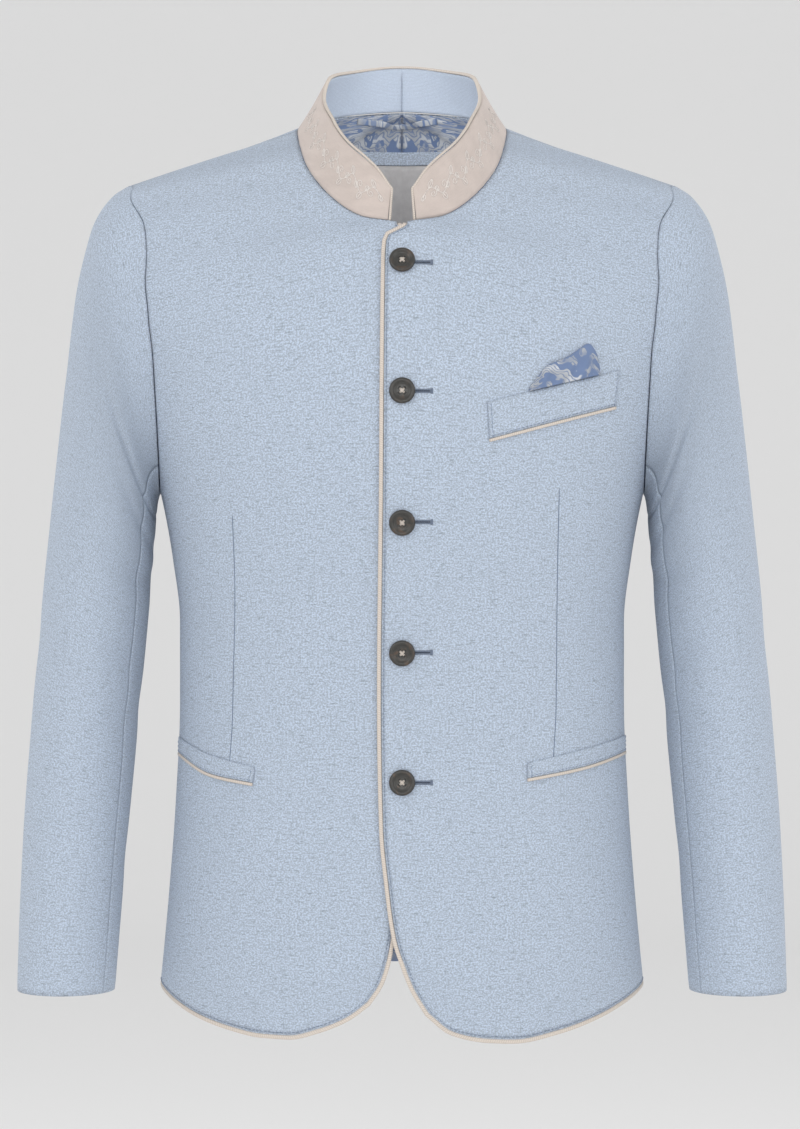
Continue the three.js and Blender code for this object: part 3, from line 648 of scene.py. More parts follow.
def maths(tree, operation, first, second):
    made = node(tree, "ShaderNodeMath", operation=operation)
    for socket, value in zip(made.inputs, (first, second)):
        if isinstance(value, (int, float)):
            socket.default_value = value
        else:
            tree.links.new(value, socket)
    return made.outputs[0]


def between(tree, value, low, high, bottom=0.0, top=1.0):
    made = node(tree, "ShaderNodeMapRange", interpolation_type="SMOOTHSTEP")
    tree.links.new(value, made.inputs["Value"])
    for name, number in zip(("From Min", "From Max", "To Min", "To Max"), (low, high, bottom, top)):
        made.inputs[name].default_value = number
    return made.outputs[0]


def blended(tree, amount, first, second):
    """A mix of two colours; either may be a colour or a socket."""
    made = node(tree, "ShaderNodeMix", data_type="RGBA")
    tree.links.new(amount, made.inputs["Factor"])
    for socket, colour in zip((made.inputs[6], made.inputs[7]), (first, second)):
        if hasattr(colour, "is_linked"):
            tree.links.new(colour, socket)
        else:
            socket.default_value = (*colour, 1)
    return made.outputs[2]


def finish_surface(tree, shader, colour, height, depth, roughness, sheen):
    """Joins colour and relief to the shader; depth is the relief's height in metres."""
    tree.links.new(colour, shader.inputs["Base Color"])
    bump = node(tree, "ShaderNodeBump")
    bump.inputs["Strength"].default_value = 1.0
    bump.inputs["Distance"].default_value = depth
    tree.links.new(height, bump.inputs["Height"])
    tree.links.new(bump.outputs[0], shader.inputs["Normal"])
    shader.inputs["Roughness"].default_value = roughness
    shader.inputs["Specular IOR Level"].default_value = 0.25
    shader.inputs["Sheen Weight"].default_value = sheen
    shader.inputs["Sheen Roughness"].default_value = 0.5


def times(colour, factor):
    return tuple(min(1.0, part * factor) for part in colour)


def melange_weave(colour, thread, slubs=1.0):
    """A linen-look cloth: two sets of uneven threads, dark slubs across and pale ones down."""

    def build(tree, shader):
        place = scaled_cloth(tree, 1000 / thread, 1000 / thread)
        warp = wave(tree, place, "X", 0.5, 0.6)
        weft = wave(tree, place, "Y", 0.5, 0.6)
        weave = maths(tree, "MULTIPLY", warp, weft)
        dots = noise(tree, scaled_cloth(tree, 700, 800), detail=2)
        across = noise(tree, scaled_cloth(tree, 120, 760), detail=3)
        down = noise(tree, scaled_cloth(tree, 760, 160), detail=3)
        cloud = noise(tree, scaled_cloth(tree, 24, 24), detail=4)
        dark = times(colour, 0.55)
        light = times(colour, 1.45)
        shade = blended(tree, between(tree, dots, 0.42, 0.60, 0.0, 0.95), times(colour, 0.86), light)
        shade = blended(tree, between(tree, across, 0.54, 0.70, 0.0, 0.8 * slubs), shade, dark)
        shade = blended(tree, between(tree, down, 0.54, 0.70, 0.0, 0.55 * slubs), shade, light)
        shade = blended(tree, between(tree, weave, 0.05, 0.5, 0.40, 0.0), shade, dark)
        shade = blended(tree, between(tree, cloud, 0.35, 0.68, 0.0, 0.12), shade, times(colour, 0.86))
        height = maths(tree, "ADD", weave, maths(tree, "MULTIPLY", across, 0.6))
        finish_surface(tree, shader, shade, height, 0.00022, 0.92, 0.12)

    return build


def fine_rib(colour):
    """The collar's facing: the same blue with a fine upright rib and check."""

    def build(tree, shader):
        place = scaled_cloth(tree, 1000, 1000)
        rib = wave(tree, place, "X", 0.36, 0.2)
        cross = wave(tree, place, "Y", 0.28, 0.3)
        grid = maths(tree, "MULTIPLY", rib, cross)
        dots = noise(tree, scaled_cloth(tree, 900, 900), detail=2)
        shade = blended(tree, between(tree, grid, 0.05, 0.55), times(colour, 0.78), times(colour, 1.08))
        shade = blended(tree, between(tree, dots, 0.45, 0.7, 0.0, 0.4), shade, times(colour, 1.2))
        finish_surface(tree, shader, shade, grid, 0.0002, 0.9, 0.1)

    return build


def suede(colour):
    """The collar's beige cloth, brushed and a little cloudy."""

    def build(tree, shader):
        nap = noise(tree, scaled_cloth(tree, 1100, 1100), detail=4, rough=0.7)
        streak = noise(tree, scaled_cloth(tree, 130, 900), detail=3)
        cloud = noise(tree, scaled_cloth(tree, 60, 60), detail=4)
        shade = blended(tree, between(tree, cloud, 0.3, 0.7), times(colour, 0.93), times(colour, 1.05))
        shade = blended(tree, between(tree, nap, 0.42, 0.7, 0.0, 0.35), shade, times(colour, 1.16))
        shade = blended(tree, between(tree, streak, 0.5, 0.72, 0.0, 0.3), shade, times(colour, 0.84))
        finish_surface(tree, shader, shade, nap, 0.00018, 0.95, 0.25)

    return build


def twisted_thread(colour, pitch=1.4):
    """Piping cloth and sewing thread: fine slanting twist along its length."""

    def build(tree, shader):
        twist = wave(tree, scaled_cloth(tree, 1000 / pitch, 1000 / pitch), "DIAGONAL", 0.5, 0.4)
        fibre = noise(tree, scaled_cloth(tree, 900, 900), detail=2)
        shade = blended(tree, between(tree, twist, 0.1, 0.8), times(colour, 0.86), times(colour, 1.06))
        shade = blended(tree, between(tree, fibre, 0.4, 0.7, 0.0, 0.4), shade, times(colour, 0.9))
        finish_surface(tree, shader, shade, twist, 0.00012, 0.85, 0.1)

    return build


def leaf_jacquard(ground, figure):
    """A blue satin ground with woven scrolls and leaves in grey-cream, lighter in patches as a painted
    highlight.
    """

    def build(tree, shader):
        place = scaled_cloth(tree, 62, 62)
        drift = node(tree, "ShaderNodeTexNoise", Scale=1.1, Detail=2.0)
        tree.links.new(place, drift.inputs["Vector"])
        bend = node(tree, "ShaderNodeVectorMath", operation="SCALE")
        bend.inputs["Scale"].default_value = 1.5
        tree.links.new(drift.outputs["Color"], bend.inputs[0])
        curled = node(tree, "ShaderNodeVectorMath", operation="ADD")
        tree.links.new(place, curled.inputs[0])
        tree.links.new(bend.outputs[0], curled.inputs[1])
        cells = node(tree, "ShaderNodeTexVoronoi", feature="SMOOTH_F1", Scale=1.0)
        tree.links.new(curled.outputs[0], cells.inputs["Vector"])
        rings = maths(tree, "SINE", maths(tree, "MULTIPLY", cells.outputs["Distance"], 15.0), 0)
        petals = between(tree, rings, -0.25, 0.15)
        veins = wave(tree, curled.outputs[0], "DIAGONAL", 1.7, 2.4)
        leaf = maths(tree, "MULTIPLY", petals, between(tree, veins, 0.12, 0.34, 0.25, 1.0))
        patch = noise(tree, scaled_cloth(tree, 40, 40), detail=1)
        mask = maths(tree, "MULTIPLY", leaf, between(tree, patch, 0.34, 0.46, 0.15, 1.0))
        thread = wave(tree, scaled_cloth(tree, 1000, 1000), "Y", 0.6, 0.3)
        # Painted highlight: the leaves turn a lighter copy of their colour inside the noise patches
        tone = blended(tree, between(tree, patch, 0.48, 0.6), figure, times(figure, 1.4))
        shade = blended(tree, mask, ground, tone)
        shade = blended(tree, between(tree, thread, 0.1, 0.8, 0.22, 0.0), shade, times(ground, 0.7))
        height = maths(tree, "ADD", mask, maths(tree, "MULTIPLY", thread, 0.2))
        finish_surface(tree, shader, shade, height, 0.00022, 0.42, 0.2)

    return build


def horn(colour):
    """Dark polished horn with paler streaks."""

    def build(tree, shader):
        place = node(tree, "ShaderNodeTexCoord").outputs["Object"]
        streak = node(tree, "ShaderNodeTexNoise", Scale=90.0, Detail=5.0, Distortion=1.4)
        tree.links.new(place, streak.inputs["Vector"])
        pale = between(tree, streak.outputs["Fac"], 0.48, 0.72, 0.0, 0.7)
        shade = blended(tree, pale, colour, PALE_HORN)
        finish_surface(tree, shader, shade, streak.outputs["Fac"], 0.00004, 0.32, 0.0)
        shader.inputs["Specular IOR Level"].default_value = 0.5

    return build


def plain_label(colour):
    """A bare woven label: a close satin weave and nothing on it."""

    def build(tree, shader):
        weft = wave(tree, scaled_cloth(tree, 1000, 1000), "Y", 0.8, 0.2)
        soft = noise(tree, scaled_cloth(tree, 150, 150), detail=4)
        shade = blended(tree, between(tree, soft, 0.3, 0.7), times(colour, 0.92), times(colour, 1.05))
        shade = blended(tree, between(tree, weft, 0.1, 0.9, 0.2, 0.0), shade, times(colour, 0.75))
        finish_surface(tree, shader, shade, weft, 0.0001, 0.6, 0.1)

    return build


def settings():
    return bpy.context.scene.jacket_look


def sewing():
    return bpy.context.scene.jacket_sewing


def cloth_finish():
    return material("light blue melange", melange_weave(tuple(settings().cloth), settings().thread))


def collar_finish():
    return material("beige brushed cloth", suede(tuple(settings().collar)))


def facing_finish():
    return material("blue ribbed facing", fine_rib(tuple(settings().facing)))


def piping_finish():
    return material("cream piping", twisted_thread(tuple(settings().piping)))


def lining_finish():
    look = settings()
    return material("leaf jacquard", leaf_jacquard(tuple(look.lining), tuple(look.leaves)))


def band_finish():
    return material("blue strip", melange_weave(tuple(settings().band), 1.0, 0.5))


def patch_finish():
    return material("bare label", plain_label(tuple(settings().patch)))


def horn_finish():
    return material("dark horn", horn(tuple(settings().horn)))


def thread_finish(name, colour):
    return material(name, twisted_thread(colour, 0.8))


# Fronts and backs


def front_grid(edge, hem):
    """The (s, v) of a front's points: the skirt's rows bend to its hem, the rest are level."""
    t = np.linspace(0, 1, FRONT_COLUMNS)
    edge_x = curve_of(edge)
    hem_z = curve_of(hem)
    corner_x, corner_z = hem[0]
    corner_s = width_at(corner_x, corner_z)
    hem_x = body(mix(corner_s, 1, t), corner_z)[:, 0]
    low = hem_z(np.maximum(hem_x, corner_x))
    rows = []
    for rise in np.linspace(0, 1, HEM_ROWS)[:-1]:
        edge_z = mix(corner_z, SKIRT, rise)
        edge_s = width_at(edge_x(edge_z), edge_z)
        rows.append((mix(edge_s, 1, t), mix(low, SKIRT, rise)))
    for v in FRONT_LEVELS:
        edge_s = width_at(edge_x(v), v) if v < PIT else 0.0
        side_s = armhole_at(v) if v > UNDERARM else 1.0
        rows.append((mix(edge_s, side_s, t), np.full(len(t), v)))
    return np.array([s for s, _ in rows]), np.array([v for _, v in rows])


def soft_chest(s, v):
    """The body's outside, with the turn of the cloth below the collar drawn out more gently."""
    near = np.exp(-(((v - PIT) / CHEST_REACH) ** 2))
    share = near * smooth_step(s / 0.14) * smooth_step((s[:, -1:] - s) / 0.12)
    shifts = CHEST_SPREAD * np.array([-1, -0.5, 0, 0.5, 1])
    level = np.mean([body(s, v + shift) for shift in shifts], axis=0)
    return mix(body(s, v), level, share[..., None])


def front_surface(side, edge, hem):
    s, v = front_grid(edge, hem)
    points = mirrored(soft_chest(s, v), side)
    normals = mirrored(body_normal(s, v), side)
    return lapped(points, normals, side), normals, v


def drawn_back(points, normals, v, wide):
    """The front with its edge and hem drawn back from the piping, and the piping's line."""
    pit = int(np.argmax(v[:, 0] >= PIT)) + 1
    path = [(j, 0) for j in range(pit, 0, -1)] + [(0, i) for i in range(points.shape[1])]
    rows, columns = np.array(path).T
    line = points[rows, columns]
    facing = normals[rows, columns]
    along = unit(np.gradient(line, axis=0))
    inward = unit(np.cross(along, facing))
    middle = points[len(points) // 3, points.shape[1] // 2]
    if np.sum(inward[len(inward) // 3] * (middle - line[len(inward) // 3])) < 0:
        inward = -inward
    result = points.copy()
    from_edge = inward[:pit + 1][::-1]
    from_hem = inward[pit:]
    reach = 8
    fade_across = np.clip(1 - np.arange(points.shape[1]) / reach, 0, 1)
    fade_up = np.clip(1 - np.arange(len(points)) / reach, 0, 1)
    for j in range(len(points)):
        edge_share = fade_across if j <= pit else np.zeros_like(fade_across)
        hem_share = np.full(points.shape[1], fade_up[j])
        total = np.maximum(1, edge_share + hem_share)
        sideways = from_edge[min(j, pit)] * (edge_share / total)[:, None]
        upwards = from_hem * (hem_share / total)[:, None]
        result[j] += wide * (sideways + upwards)
    return result, (line, inward, facing)


def make_front(name, side, edge, hem):
    points, normals, v = front_surface(side, edge, hem)
    drawn, (line, inward, facing) = drawn_back(points, normals, v, PIPING + SEAM)
    flat = unrolled_panel(drawn, v, side)
    piece = wall(f"{name}_cloth", drawn, normals, CLOTH, cloth_finish(), lining_finish(), flat=flat)
    declare_cloth(name)
    trim = strip(f"{name}_edge", line, inward, facing, PIPING, CLOTH + 0.3, piping_finish())
    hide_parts(f"{name}_piping")
    sewn, up = resampled(line + inward * (PIPING + EDGE_STITCH), facing, 2.0)
    thread = thread_finish("blue thread", stitch_colour())
    stitching = ring_tube(f"{name}_edge_stitch", stitches(sewn, up), thread)
    make_dart(name, side)


def stitch_sizes():
    """A stitch's length, the gap after it and the thread's radius, in millimetres."""
    return sewing().stitch * 1000, sewing().gap * 1000, sewing().thread * 500


def stitch_colour():
    return tuple(sewing().colour)


def make_dart(name, side):
    """The dart's seam: a thin cord a little darker than the stitching, as a painted seam shadow."""
    table = [(z, x) for x, z in reversed(DARTS[side])]
    z = np.linspace(table[0][0], table[-1][0], 70)
    x = np.abs(curve_of(table)(z))
    points, normals = on_body(*front_place(x, z), side)
    rings = [cord_rings(points + normals * 0.02, normals, 0.42, flat=0.45)]
    # Painted shade: the stitching's colour darkened, for the shadow in the dart's seam
    seam = ring_tube(f"{name}_dart", rings, thread_finish("seam shadow", times(stitch_colour(), 0.8)))


def back_grid():
    """The (s, v) of a half back's points: level rows, and the last ones bend to the hem."""
    t = np.linspace(0, 1, BACK_COLUMNS)
    rows = []
    for v in BACK_LEVELS:
        side_s = armhole_at(v) if v < back_level(UNDERARM) else 1.0
        rows.append((side_s * t, np.full(len(t), v)))
    last = BACK_LEVELS[-1]
    hem = back_level(mix(BACK_HEM_CENTRE, BACK_HEM_SIDE, t * t))
    for share in (0.25, 0.5, 0.75, 1.0):
        rows.append((t, mix(last, hem, share)))
    return np.array([s for s, _ in rows]), np.array([v for _, v in rows])


def make_back(name, side):
    s, v = back_grid()
    points, normals = on_body(s, v, side)
    flat = unrolled_panel(points, v, side)
    piece = wall(f"{name}_cloth", points, normals, CLOTH, cloth_finish(), lining_finish(), flat=flat)
    declare_cloth(name)


# Sleeves


def armhole_loop():
    """The armhole's points: up the front and down the back, as s and v of the body."""
    fore = FRONT_LEVELS[FRONT_LEVELS >= UNDERARM - 1e-6]
    hind = BACK_LEVELS[(BACK_LEVELS < back_level(UNDERARM) - 1e-6) & (BACK_LEVELS > SHOULDER_SEAM)]
    v = np.concatenate([fore, hind])
    return body(np.where(v > UNDERARM + 1e-6, armhole_at(v), 1.0), v)


RINGS = [curve_of([(u, row[k]) for u, row in enumerate(SLEEVE_RINGS)]) for k in range(6)]


def ring_point(u, angle):
    """A place on the sleeve: u counts its rings, and the angle goes from below up the front."""
    over, over_z, under, under_z, depth, middle = [track(u) for track in RINGS]
    lean = (1 + np.cos(angle)) / 2
    x = mix(over, under, lean)
    return np.stack([x, middle - depth * np.sin(angle), mix(over_z, under_z, lean)], axis=-1)


def sleeve_surface(u, angle, seam):
    """The sleeve's outside, eased into the armhole's seam over its first rings."""
    ease = np.maximum(0, 1 - u / ARMHOLE_EASE) ** 2
    fit = seam - ring_point(np.zeros_like(angle), angle)
    place = ring_point(u, angle) + fit * ease[..., None]
    return place + np.array([SEAM, 0, 0])


def sleeve_creases(u, angle):
    """How deep the soft folds are: drag lines below the cap, and slanting ones by the elbow."""
    depth = np.zeros(np.broadcast(u, angle).shape)
    for at, centre, wide, slant, deep in SLEEVE_FOLDS:
        away = (angle - centre + math.pi) % (2 * math.pi) - math.pi
        round_arm = np.exp(-((away / wide) ** 2))
        line = at + slant * (angle - centre)
        depth += deep * round_arm * np.exp(-(((u - line) / FOLD_TALL) ** 2))
    return depth * np.clip((u - 2.5) / 1.5, 0, 1) * np.clip((12.6 - u) / 0.8, 0, 1)


def make_sleeve_piece(name, side, seams, angles):
    last = len(SLEEVE_RINGS) - 1
    cap = np.linspace(0, ARMHOLE_EASE, 26)[:-1]
    u = np.concatenate([cap, np.linspace(ARMHOLE_EASE, last, 92)])[:, None]
    turns = np.broadcast_to(angles[None], (len(u), len(angles)))
    seam = np.broadcast_to(seams[None], (len(u), *seams.shape))
    around = np.broadcast_to(u, turns.shape)
    step = 0.01
    ahead = np.minimum(around + step, last)
    behind = np.maximum(around - step, 0)
    along = sleeve_surface(ahead, turns, seam) - sleeve_surface(behind, turns, seam)
    points = sleeve_surface(around, turns, seam)
    round_about = np.gradient(points, axis=1)
    normals = unit(np.cross(round_about, along))
    under, over = np.zeros_like(around), np.full_like(around, math.pi)
    middle = (ring_point(around, under) + ring_point(around, over)) / 2
    row = len(points) // 3
    if np.sum(normals[row] * (points[row] - middle[row])) < 0:
        normals = -normals
    points = points - normals * sleeve_creases(around, turns)[..., None]
    points, normals = mirrored(points, side), mirrored(normals, side)
    piece = wall(f"{name}_cloth", points, normals, CLOTH, cloth_finish(), lining_finish())
    declare_cloth(name)


def make_sleeve(name, side):
    loop = armhole_loop()
    across = (SIDE_Y - loop[:, 1]) / ARMHOLE_HALF
    down = (ARMHOLE_Z - loop[:, 2]) / ARMHOLE_TALL
    angles = np.arctan2(across, down)
    top = int(np.argmax(angles))
    fore = int(np.argmin(np.abs(angles[:top] - math.radians(SLEEVE_FRONT_SEAM))))
    after = np.arange(top + 1, len(angles))
    hind = int(after[np.argmin(np.abs(angles[after] - math.radians(SLEEVE_HIND_SEAM)))])
    unrolled_angles = np.where(np.arange(len(angles)) > top, angles + 2 * math.pi, angles)
    make_sleeve_piece(f"{name}_top", side, loop[fore:hind + 1], unrolled_angles[fore:hind + 1])
    under = np.concatenate([loop[hind:], loop[:fore + 1]])
    turns = np.concatenate([angles[hind:], angles[:fore + 1]])
    make_sleeve_piece(f"{name}_under", side, under, turns)


# The collar


NECK_LEVELS = np.concatenate([
    subdivided([COLLAR_START, SHOULDER_SEAM], 2.2)[:-1],
    subdivided([SHOULDER_SEAM, back_level(BACK_NECK_HEIGHT)], 2.2),
])
RIM_HEIGHT = curve_of([*COLLAR_RIM, (360 - COLLAR_RIM[-2][0], COLLAR_RIM[-2][1])])


def collar_point(v, rise):
    """A place on the collar above the neck edge at v: rise 0 is its seam and 1 its rim."""
    base = body(np.zeros(np.shape(v)), v)
    is_front = base[..., 1] < 0
    forward = -base[..., 1] / np.where(is_front, NECK_FRONT, NECK_BACK)
    angle = np.arctan2(base[..., 0] / NECK_HALF, forward)
    depth = np.where(is_front, RIM_FRONT, RIM_BACK)
    rim = np.stack([
        RIM_HALF * np.sin(angle), -depth * np.cos(angle), RIM_HEIGHT(np.degrees(angle)),
    ], axis=-1)
    return mix(base, rim, np.asarray(rise)[..., None])


def collar_surface(rises, low, ends):
    """The collar's points and normals, from its left end round the back to its right end."""
    v, rise = np.broadcast_arrays(NECK_LEVELS[None], rises[:, None])
    points = collar_point(v, rise)
    across = collar_point(np.minimum(v + 1, NECK_LEVELS[-1]), rise) - collar_point(v - 1, rise)
    up = collar_point(v, np.ones(v.shape)) - collar_point(v, np.zeros(v.shape))
    normals = unit(np.cross(across, up))
    normals[:, -1] = unit(normals[:, -2] * np.array([0, 1, 1]))
    points = points + unit(up) * (low * (1 - rise))[..., None]
    points[:, 0] += unit(points[:, 1] - points[:, 0]) * ends
    other = slice(-2, None, -1)
    points = np.concatenate([points, mirrored(points[:, other], -1)], axis=1)
    normals = np.concatenate([normals, mirrored(normals[:, other], -1)], axis=1)
    return points, normals


def collar_line(v, rise, side, lift):
    """A line on the collar's outside, with its normals."""
    v = np.asarray(v, float)
    rise = np.asarray(rise, float)
    across = collar_point(v + 1, rise) - collar_point(v - 1, rise)
    up = collar_point(v, np.ones(v.shape)) - collar_point(v, np.zeros(v.shape))
    normals = unit(np.cross(across, up))
    points = collar_point(v, rise) + normals * lift
    return mirrored(points, side), mirrored(normals, side)


def make_collar():
    top = 1 - (COLLAR_PIPING + LIFT) / COLLAR_TALL
    rises = np.linspace(0, top, 16)
    points, normals = collar_surface(rises, SEAM, COLLAR_PIPING + LIFT)
    outer = wall("collar_outer_cloth", points, normals, COLLAR, collar_finish(), collar_finish(), 0.35)
    declare_cloth("collar_outer")
    behind = points - normals * (COLLAR + SEAM)
    inner = wall("collar_facing_cloth", behind, normals, FACING, facing_finish(), facing_finish(), 0.2)
    declare_cloth("collar_inner")
    full, facing = collar_surface(np.linspace(0, 1, 12), SEAM, 0.0)
    path = np.concatenate([full[:, 0], full[-1, 1:-1], full[::-1, -1]])
    up = np.concatenate([facing[:, 0], facing[-1, 1:-1], facing[::-1, -1]])
    path, up = resampled(path, up, 1.6)
    along = unit(np.gradient(path, axis=0))
    inward = unit(np.cross(up, along))
    if inward[len(inward) // 2][2] > 0:
        inward = -inward
    depth = COLLAR + SEAM + FACING
    trim = strip("collar_edge", path, inward, up, COLLAR_PIPING, depth, piping_finish())
    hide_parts("collar_piping")


def spiral(v, rise, turn, size, hand):
    """A curl that ends a tendril, as collar places."""
    t = np.linspace(0, 1, 22)
    angle = turn + hand * t * 1.45 * 2 * math.pi
    radius = size * (1 - 0.86 * t)
    return v + radius * np.cos(angle), rise + radius * np.sin(angle) / SCROLL_TALL


def leaf(v, rise, turn, size):
    """A pointed leaf with a midrib, as collar places."""
    t = np.linspace(0, 1, 14)
    reach = t * size
    lines = []
    for bulge in (0.30, -0.30, 0.0):
        side = bulge * size * np.sin(math.pi * t) ** 0.8
        across = reach * math.cos(turn) - side * math.sin(turn)
        up = reach * math.sin(turn) + side * math.cos(turn)
        lines.append((v + across, rise + up / SCROLL_TALL))
    return lines


def make_embroidery(side):
    """A plain leaf scroll along the middle of the collar, in its own tone."""
    start, end, repeat = -66.0, 44.0, 19.0

    def vine(v):
        return 0.48 + 0.10 * np.sin((v - start) / repeat * 2 * math.pi)

    v = np.linspace(start, end, 200)
    lines = [(v, vine(v))]
    for k, at in enumerate(np.arange(start + repeat / 4, end - 3, repeat / 2)):
        hand = 1 if k % 2 else -1
        lines.append(spiral(at + 1.8, vine(at) + hand * 0.13, -hand * math.pi / 2, 2.7, hand))
        lines += leaf(at - 0.6, vine(at), -hand * 1.0, 5.2)
        lines += leaf(at - 3.6, vine(at - 3.6), hand * 2.0, 4.2)
    tubes = []
    for across, rise in lines:
        points, normals = collar_line(across, np.clip(rise, 0.08, 0.9), side, 0.1)
        points, normals = resampled(points, normals, 0.6)
        if len(points) > 2:
            tubes.append(cord_rings(points, normals, 0.36, flat=0.3))
    word = "left" if side > 0 else "right"
    thread = thread_finish("collar silk", tuple(sewing().scroll))
    stitched = ring_tube(f"collar_scroll_{word}", tubes, thread)


# Pockets


def on_front(x, z, side, lift):
    """Points above the fronts at front-view places, with their normals."""
    points, normals = on_body(*front_place(x, z), side)
    return lapped(points, normals, side) + normals * lift, normals


def welt_line(line, t):
    """Front-view places along a welt's edge, spaced evenly round the body."""
    (s0, v0), (s1, v1) = front_place(*line[0]), front_place(*line[-1])
    x = body(mix(s0, s1, t), mix(v0, v1, t))[..., 0]
    return x, curve_of(line)(x)


def make_welt(node_name, piping_name, side, edges):
    """A pocket's welt with the piping below it and its topstitching."""
    t = np.linspace(0, 1, 48)
    top_x, top_z = welt_line(edges[0], t)
    low_x, low_z = welt_line(edges[1], t)
    seam_z = low_z + WELT_PIPING + SEAM
    rise = np.linspace(0, 1, 12)[:, None]
    x, z = mix(low_x, top_x, rise), mix(seam_z, top_z, rise)
    points, normals = on_front(x, z, side, LIFT + WELT_WALL)
    finish = cloth_finish()
    piece = wall(f"{node_name}_cloth", points, normals, WELT_WALL, finish, finish, 0.35)
    declare_cloth(node_name)
    path, facing = on_front(low_x, low_z, side, LIFT + WELT_WALL + 0.25)
    along = unit(np.gradient(path, axis=0))
    inward = unit(np.cross(facing, along))
    inward = np.where(inward[:, 2:] > 0, inward, -inward)
    thick = WELT_WALL + 0.2
    trim = strip(f"{node_name}_edge", path, inward, facing, WELT_PIPING, thick, piping_finish())
    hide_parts(piping_name)
    lines = [(x[:, 1], z[:, 1]), (x[:, -2], z[:, -2]), (low_x[1:-1], seam_z[1:-1] + 1.6)]
    tubes = []
    for line_x, line_z in lines:
        tubes += stitches(*on_front(line_x, line_z, side, LIFT + WELT_WALL))
    sewn = ring_tube(f"{node_name}_stitch", tubes, thread_finish("blue thread", stitch_colour()))


def make_puff():
    """The folded cloth that stands out of the breast pocket."""
    first, last = PUFF[0][0], PUFF[-1][0]
    x = np.linspace(first, last, 90)
    rise = np.linspace(0, 1, 30)[:, None]
    foot = curve_of(CHEST_WELT[0])(x) + SEAM
    z = mix(foot, curve_of([(x, top) for x, top, _ in PUFF])(x), rise)
    out = curve_of([(x, out) for x, _, out in PUFF])(x)
    swell = np.sin(math.pi * mix(0.3, 0.9, rise))
    across = (x - first) / (last - first)
    fold = 0.34 * np.sin(9.0 * across + 4.2 * rise) + 0.20 * np.sin(21.0 * across - 5.0 * rise)
    thick = WELT_WALL + out * swell * np.clip(0.78 + fold, 0.25, 1.25)
    points, normals = on_front(np.broadcast_to(x, z.shape), z, 1, LIFT)
    outer = points + normals * thick[..., None]
    finish = lining_finish()
    piece = wall("pocket_puff_cloth", outer, normals, thick, finish, finish)
    declare_cloth("pocket_puff")


# The inside, behind the neck opening


def make_lining(name, node_name, side):
    """Half of the back's lining, as far as it shows through the neck."""
    v = subdivided([back_level(LINING_TOP), back_level(LINING_LOW)], 5)
    t = np.linspace(0.004, LINING_SHARE, 26)
    s = armhole_at(v)[:, None] * t
    rows = np.broadcast_to(v[:, None], s.shape)
    outside, normals = on_body(s, rows, side)
    points = outside - normals * (CLOTH + SEAM)
    piece = wall(name, points, normals, LINING, lining_finish(), lining_finish(), 0.1)
    declare_cloth(node_name)


def make_inside_patch(name, node_name, finish, half, top, bottom, lift):
    """An upright rectangle of cloth on the lining, by its front-view edges."""
    x = np.linspace(-half, half, 40)
    z = np.linspace(bottom, top, 14)[:, None]
    x, z = np.broadcast_arrays(x, z)
    outside, normals = on_body(*back_place(x, z), 1)
    points = outside - normals * (ON_LINING + lift)
    piece = wall(name, points, normals, LINING, finish, finish, 0.1)
    declare_cloth(node_name)


def make_hanger_loop():
    start, end, top, wide, drop, slack, thick = -37, 29, 19.5, 5.5, 1.2, 2.2, 0.8
    t = np.linspace(0, 1, 40)
    bow = np.sin(math.pi * t)
    outside, outward = on_body(*back_place(mix(start, end, t), top - drop * bow), 1)
    inwards = ON_LINING + LIFT + slack * bow + thick
    path = outside - outward * inwards[:, None]
    along = unit(np.gradient(path, axis=0))
    down = unit(np.cross(along, outward))
    down = np.where(down[:, 2:] < 0, down, -down)
    piece = strip("hanger_tape", path, down, -outward, wide, thick, lining_finish())
    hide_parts("hanger_loop")


# Buttons and buttonholes


def button_height(index):
    return BUTTON_TOP + index * BUTTON_STEP


def button_frame(index):
    """A button's place on the left front: its middle, and its directions across, up and out."""
    z = button_height(index)
    s, v = front_place(0.0, z)
    normal = body_normal(s, v)
    across = unit(np.cross(np.array([0, 0, 1.0]), normal))
    upward = unit(np.cross(normal, across))
    base = body(s, v) + normal * (OVERLAP + LIFT)
    return base, across, upward, normal


def placed(points, place):
    """Points of a button's own frame, as places of the jacket."""
    base, across, upward, normal = place
    points = np.asarray(points, float)
    return base + points[..., :1] * across + points[..., 1:2] * upward + points[..., 2:] * normal


def circle(x, y, radius, height, count):
    turns = np.linspace(0, 2 * math.pi, count, endpoint=False)
    return [(x + radius * math.cos(a), y + radius * math.sin(a), height) for a in turns]


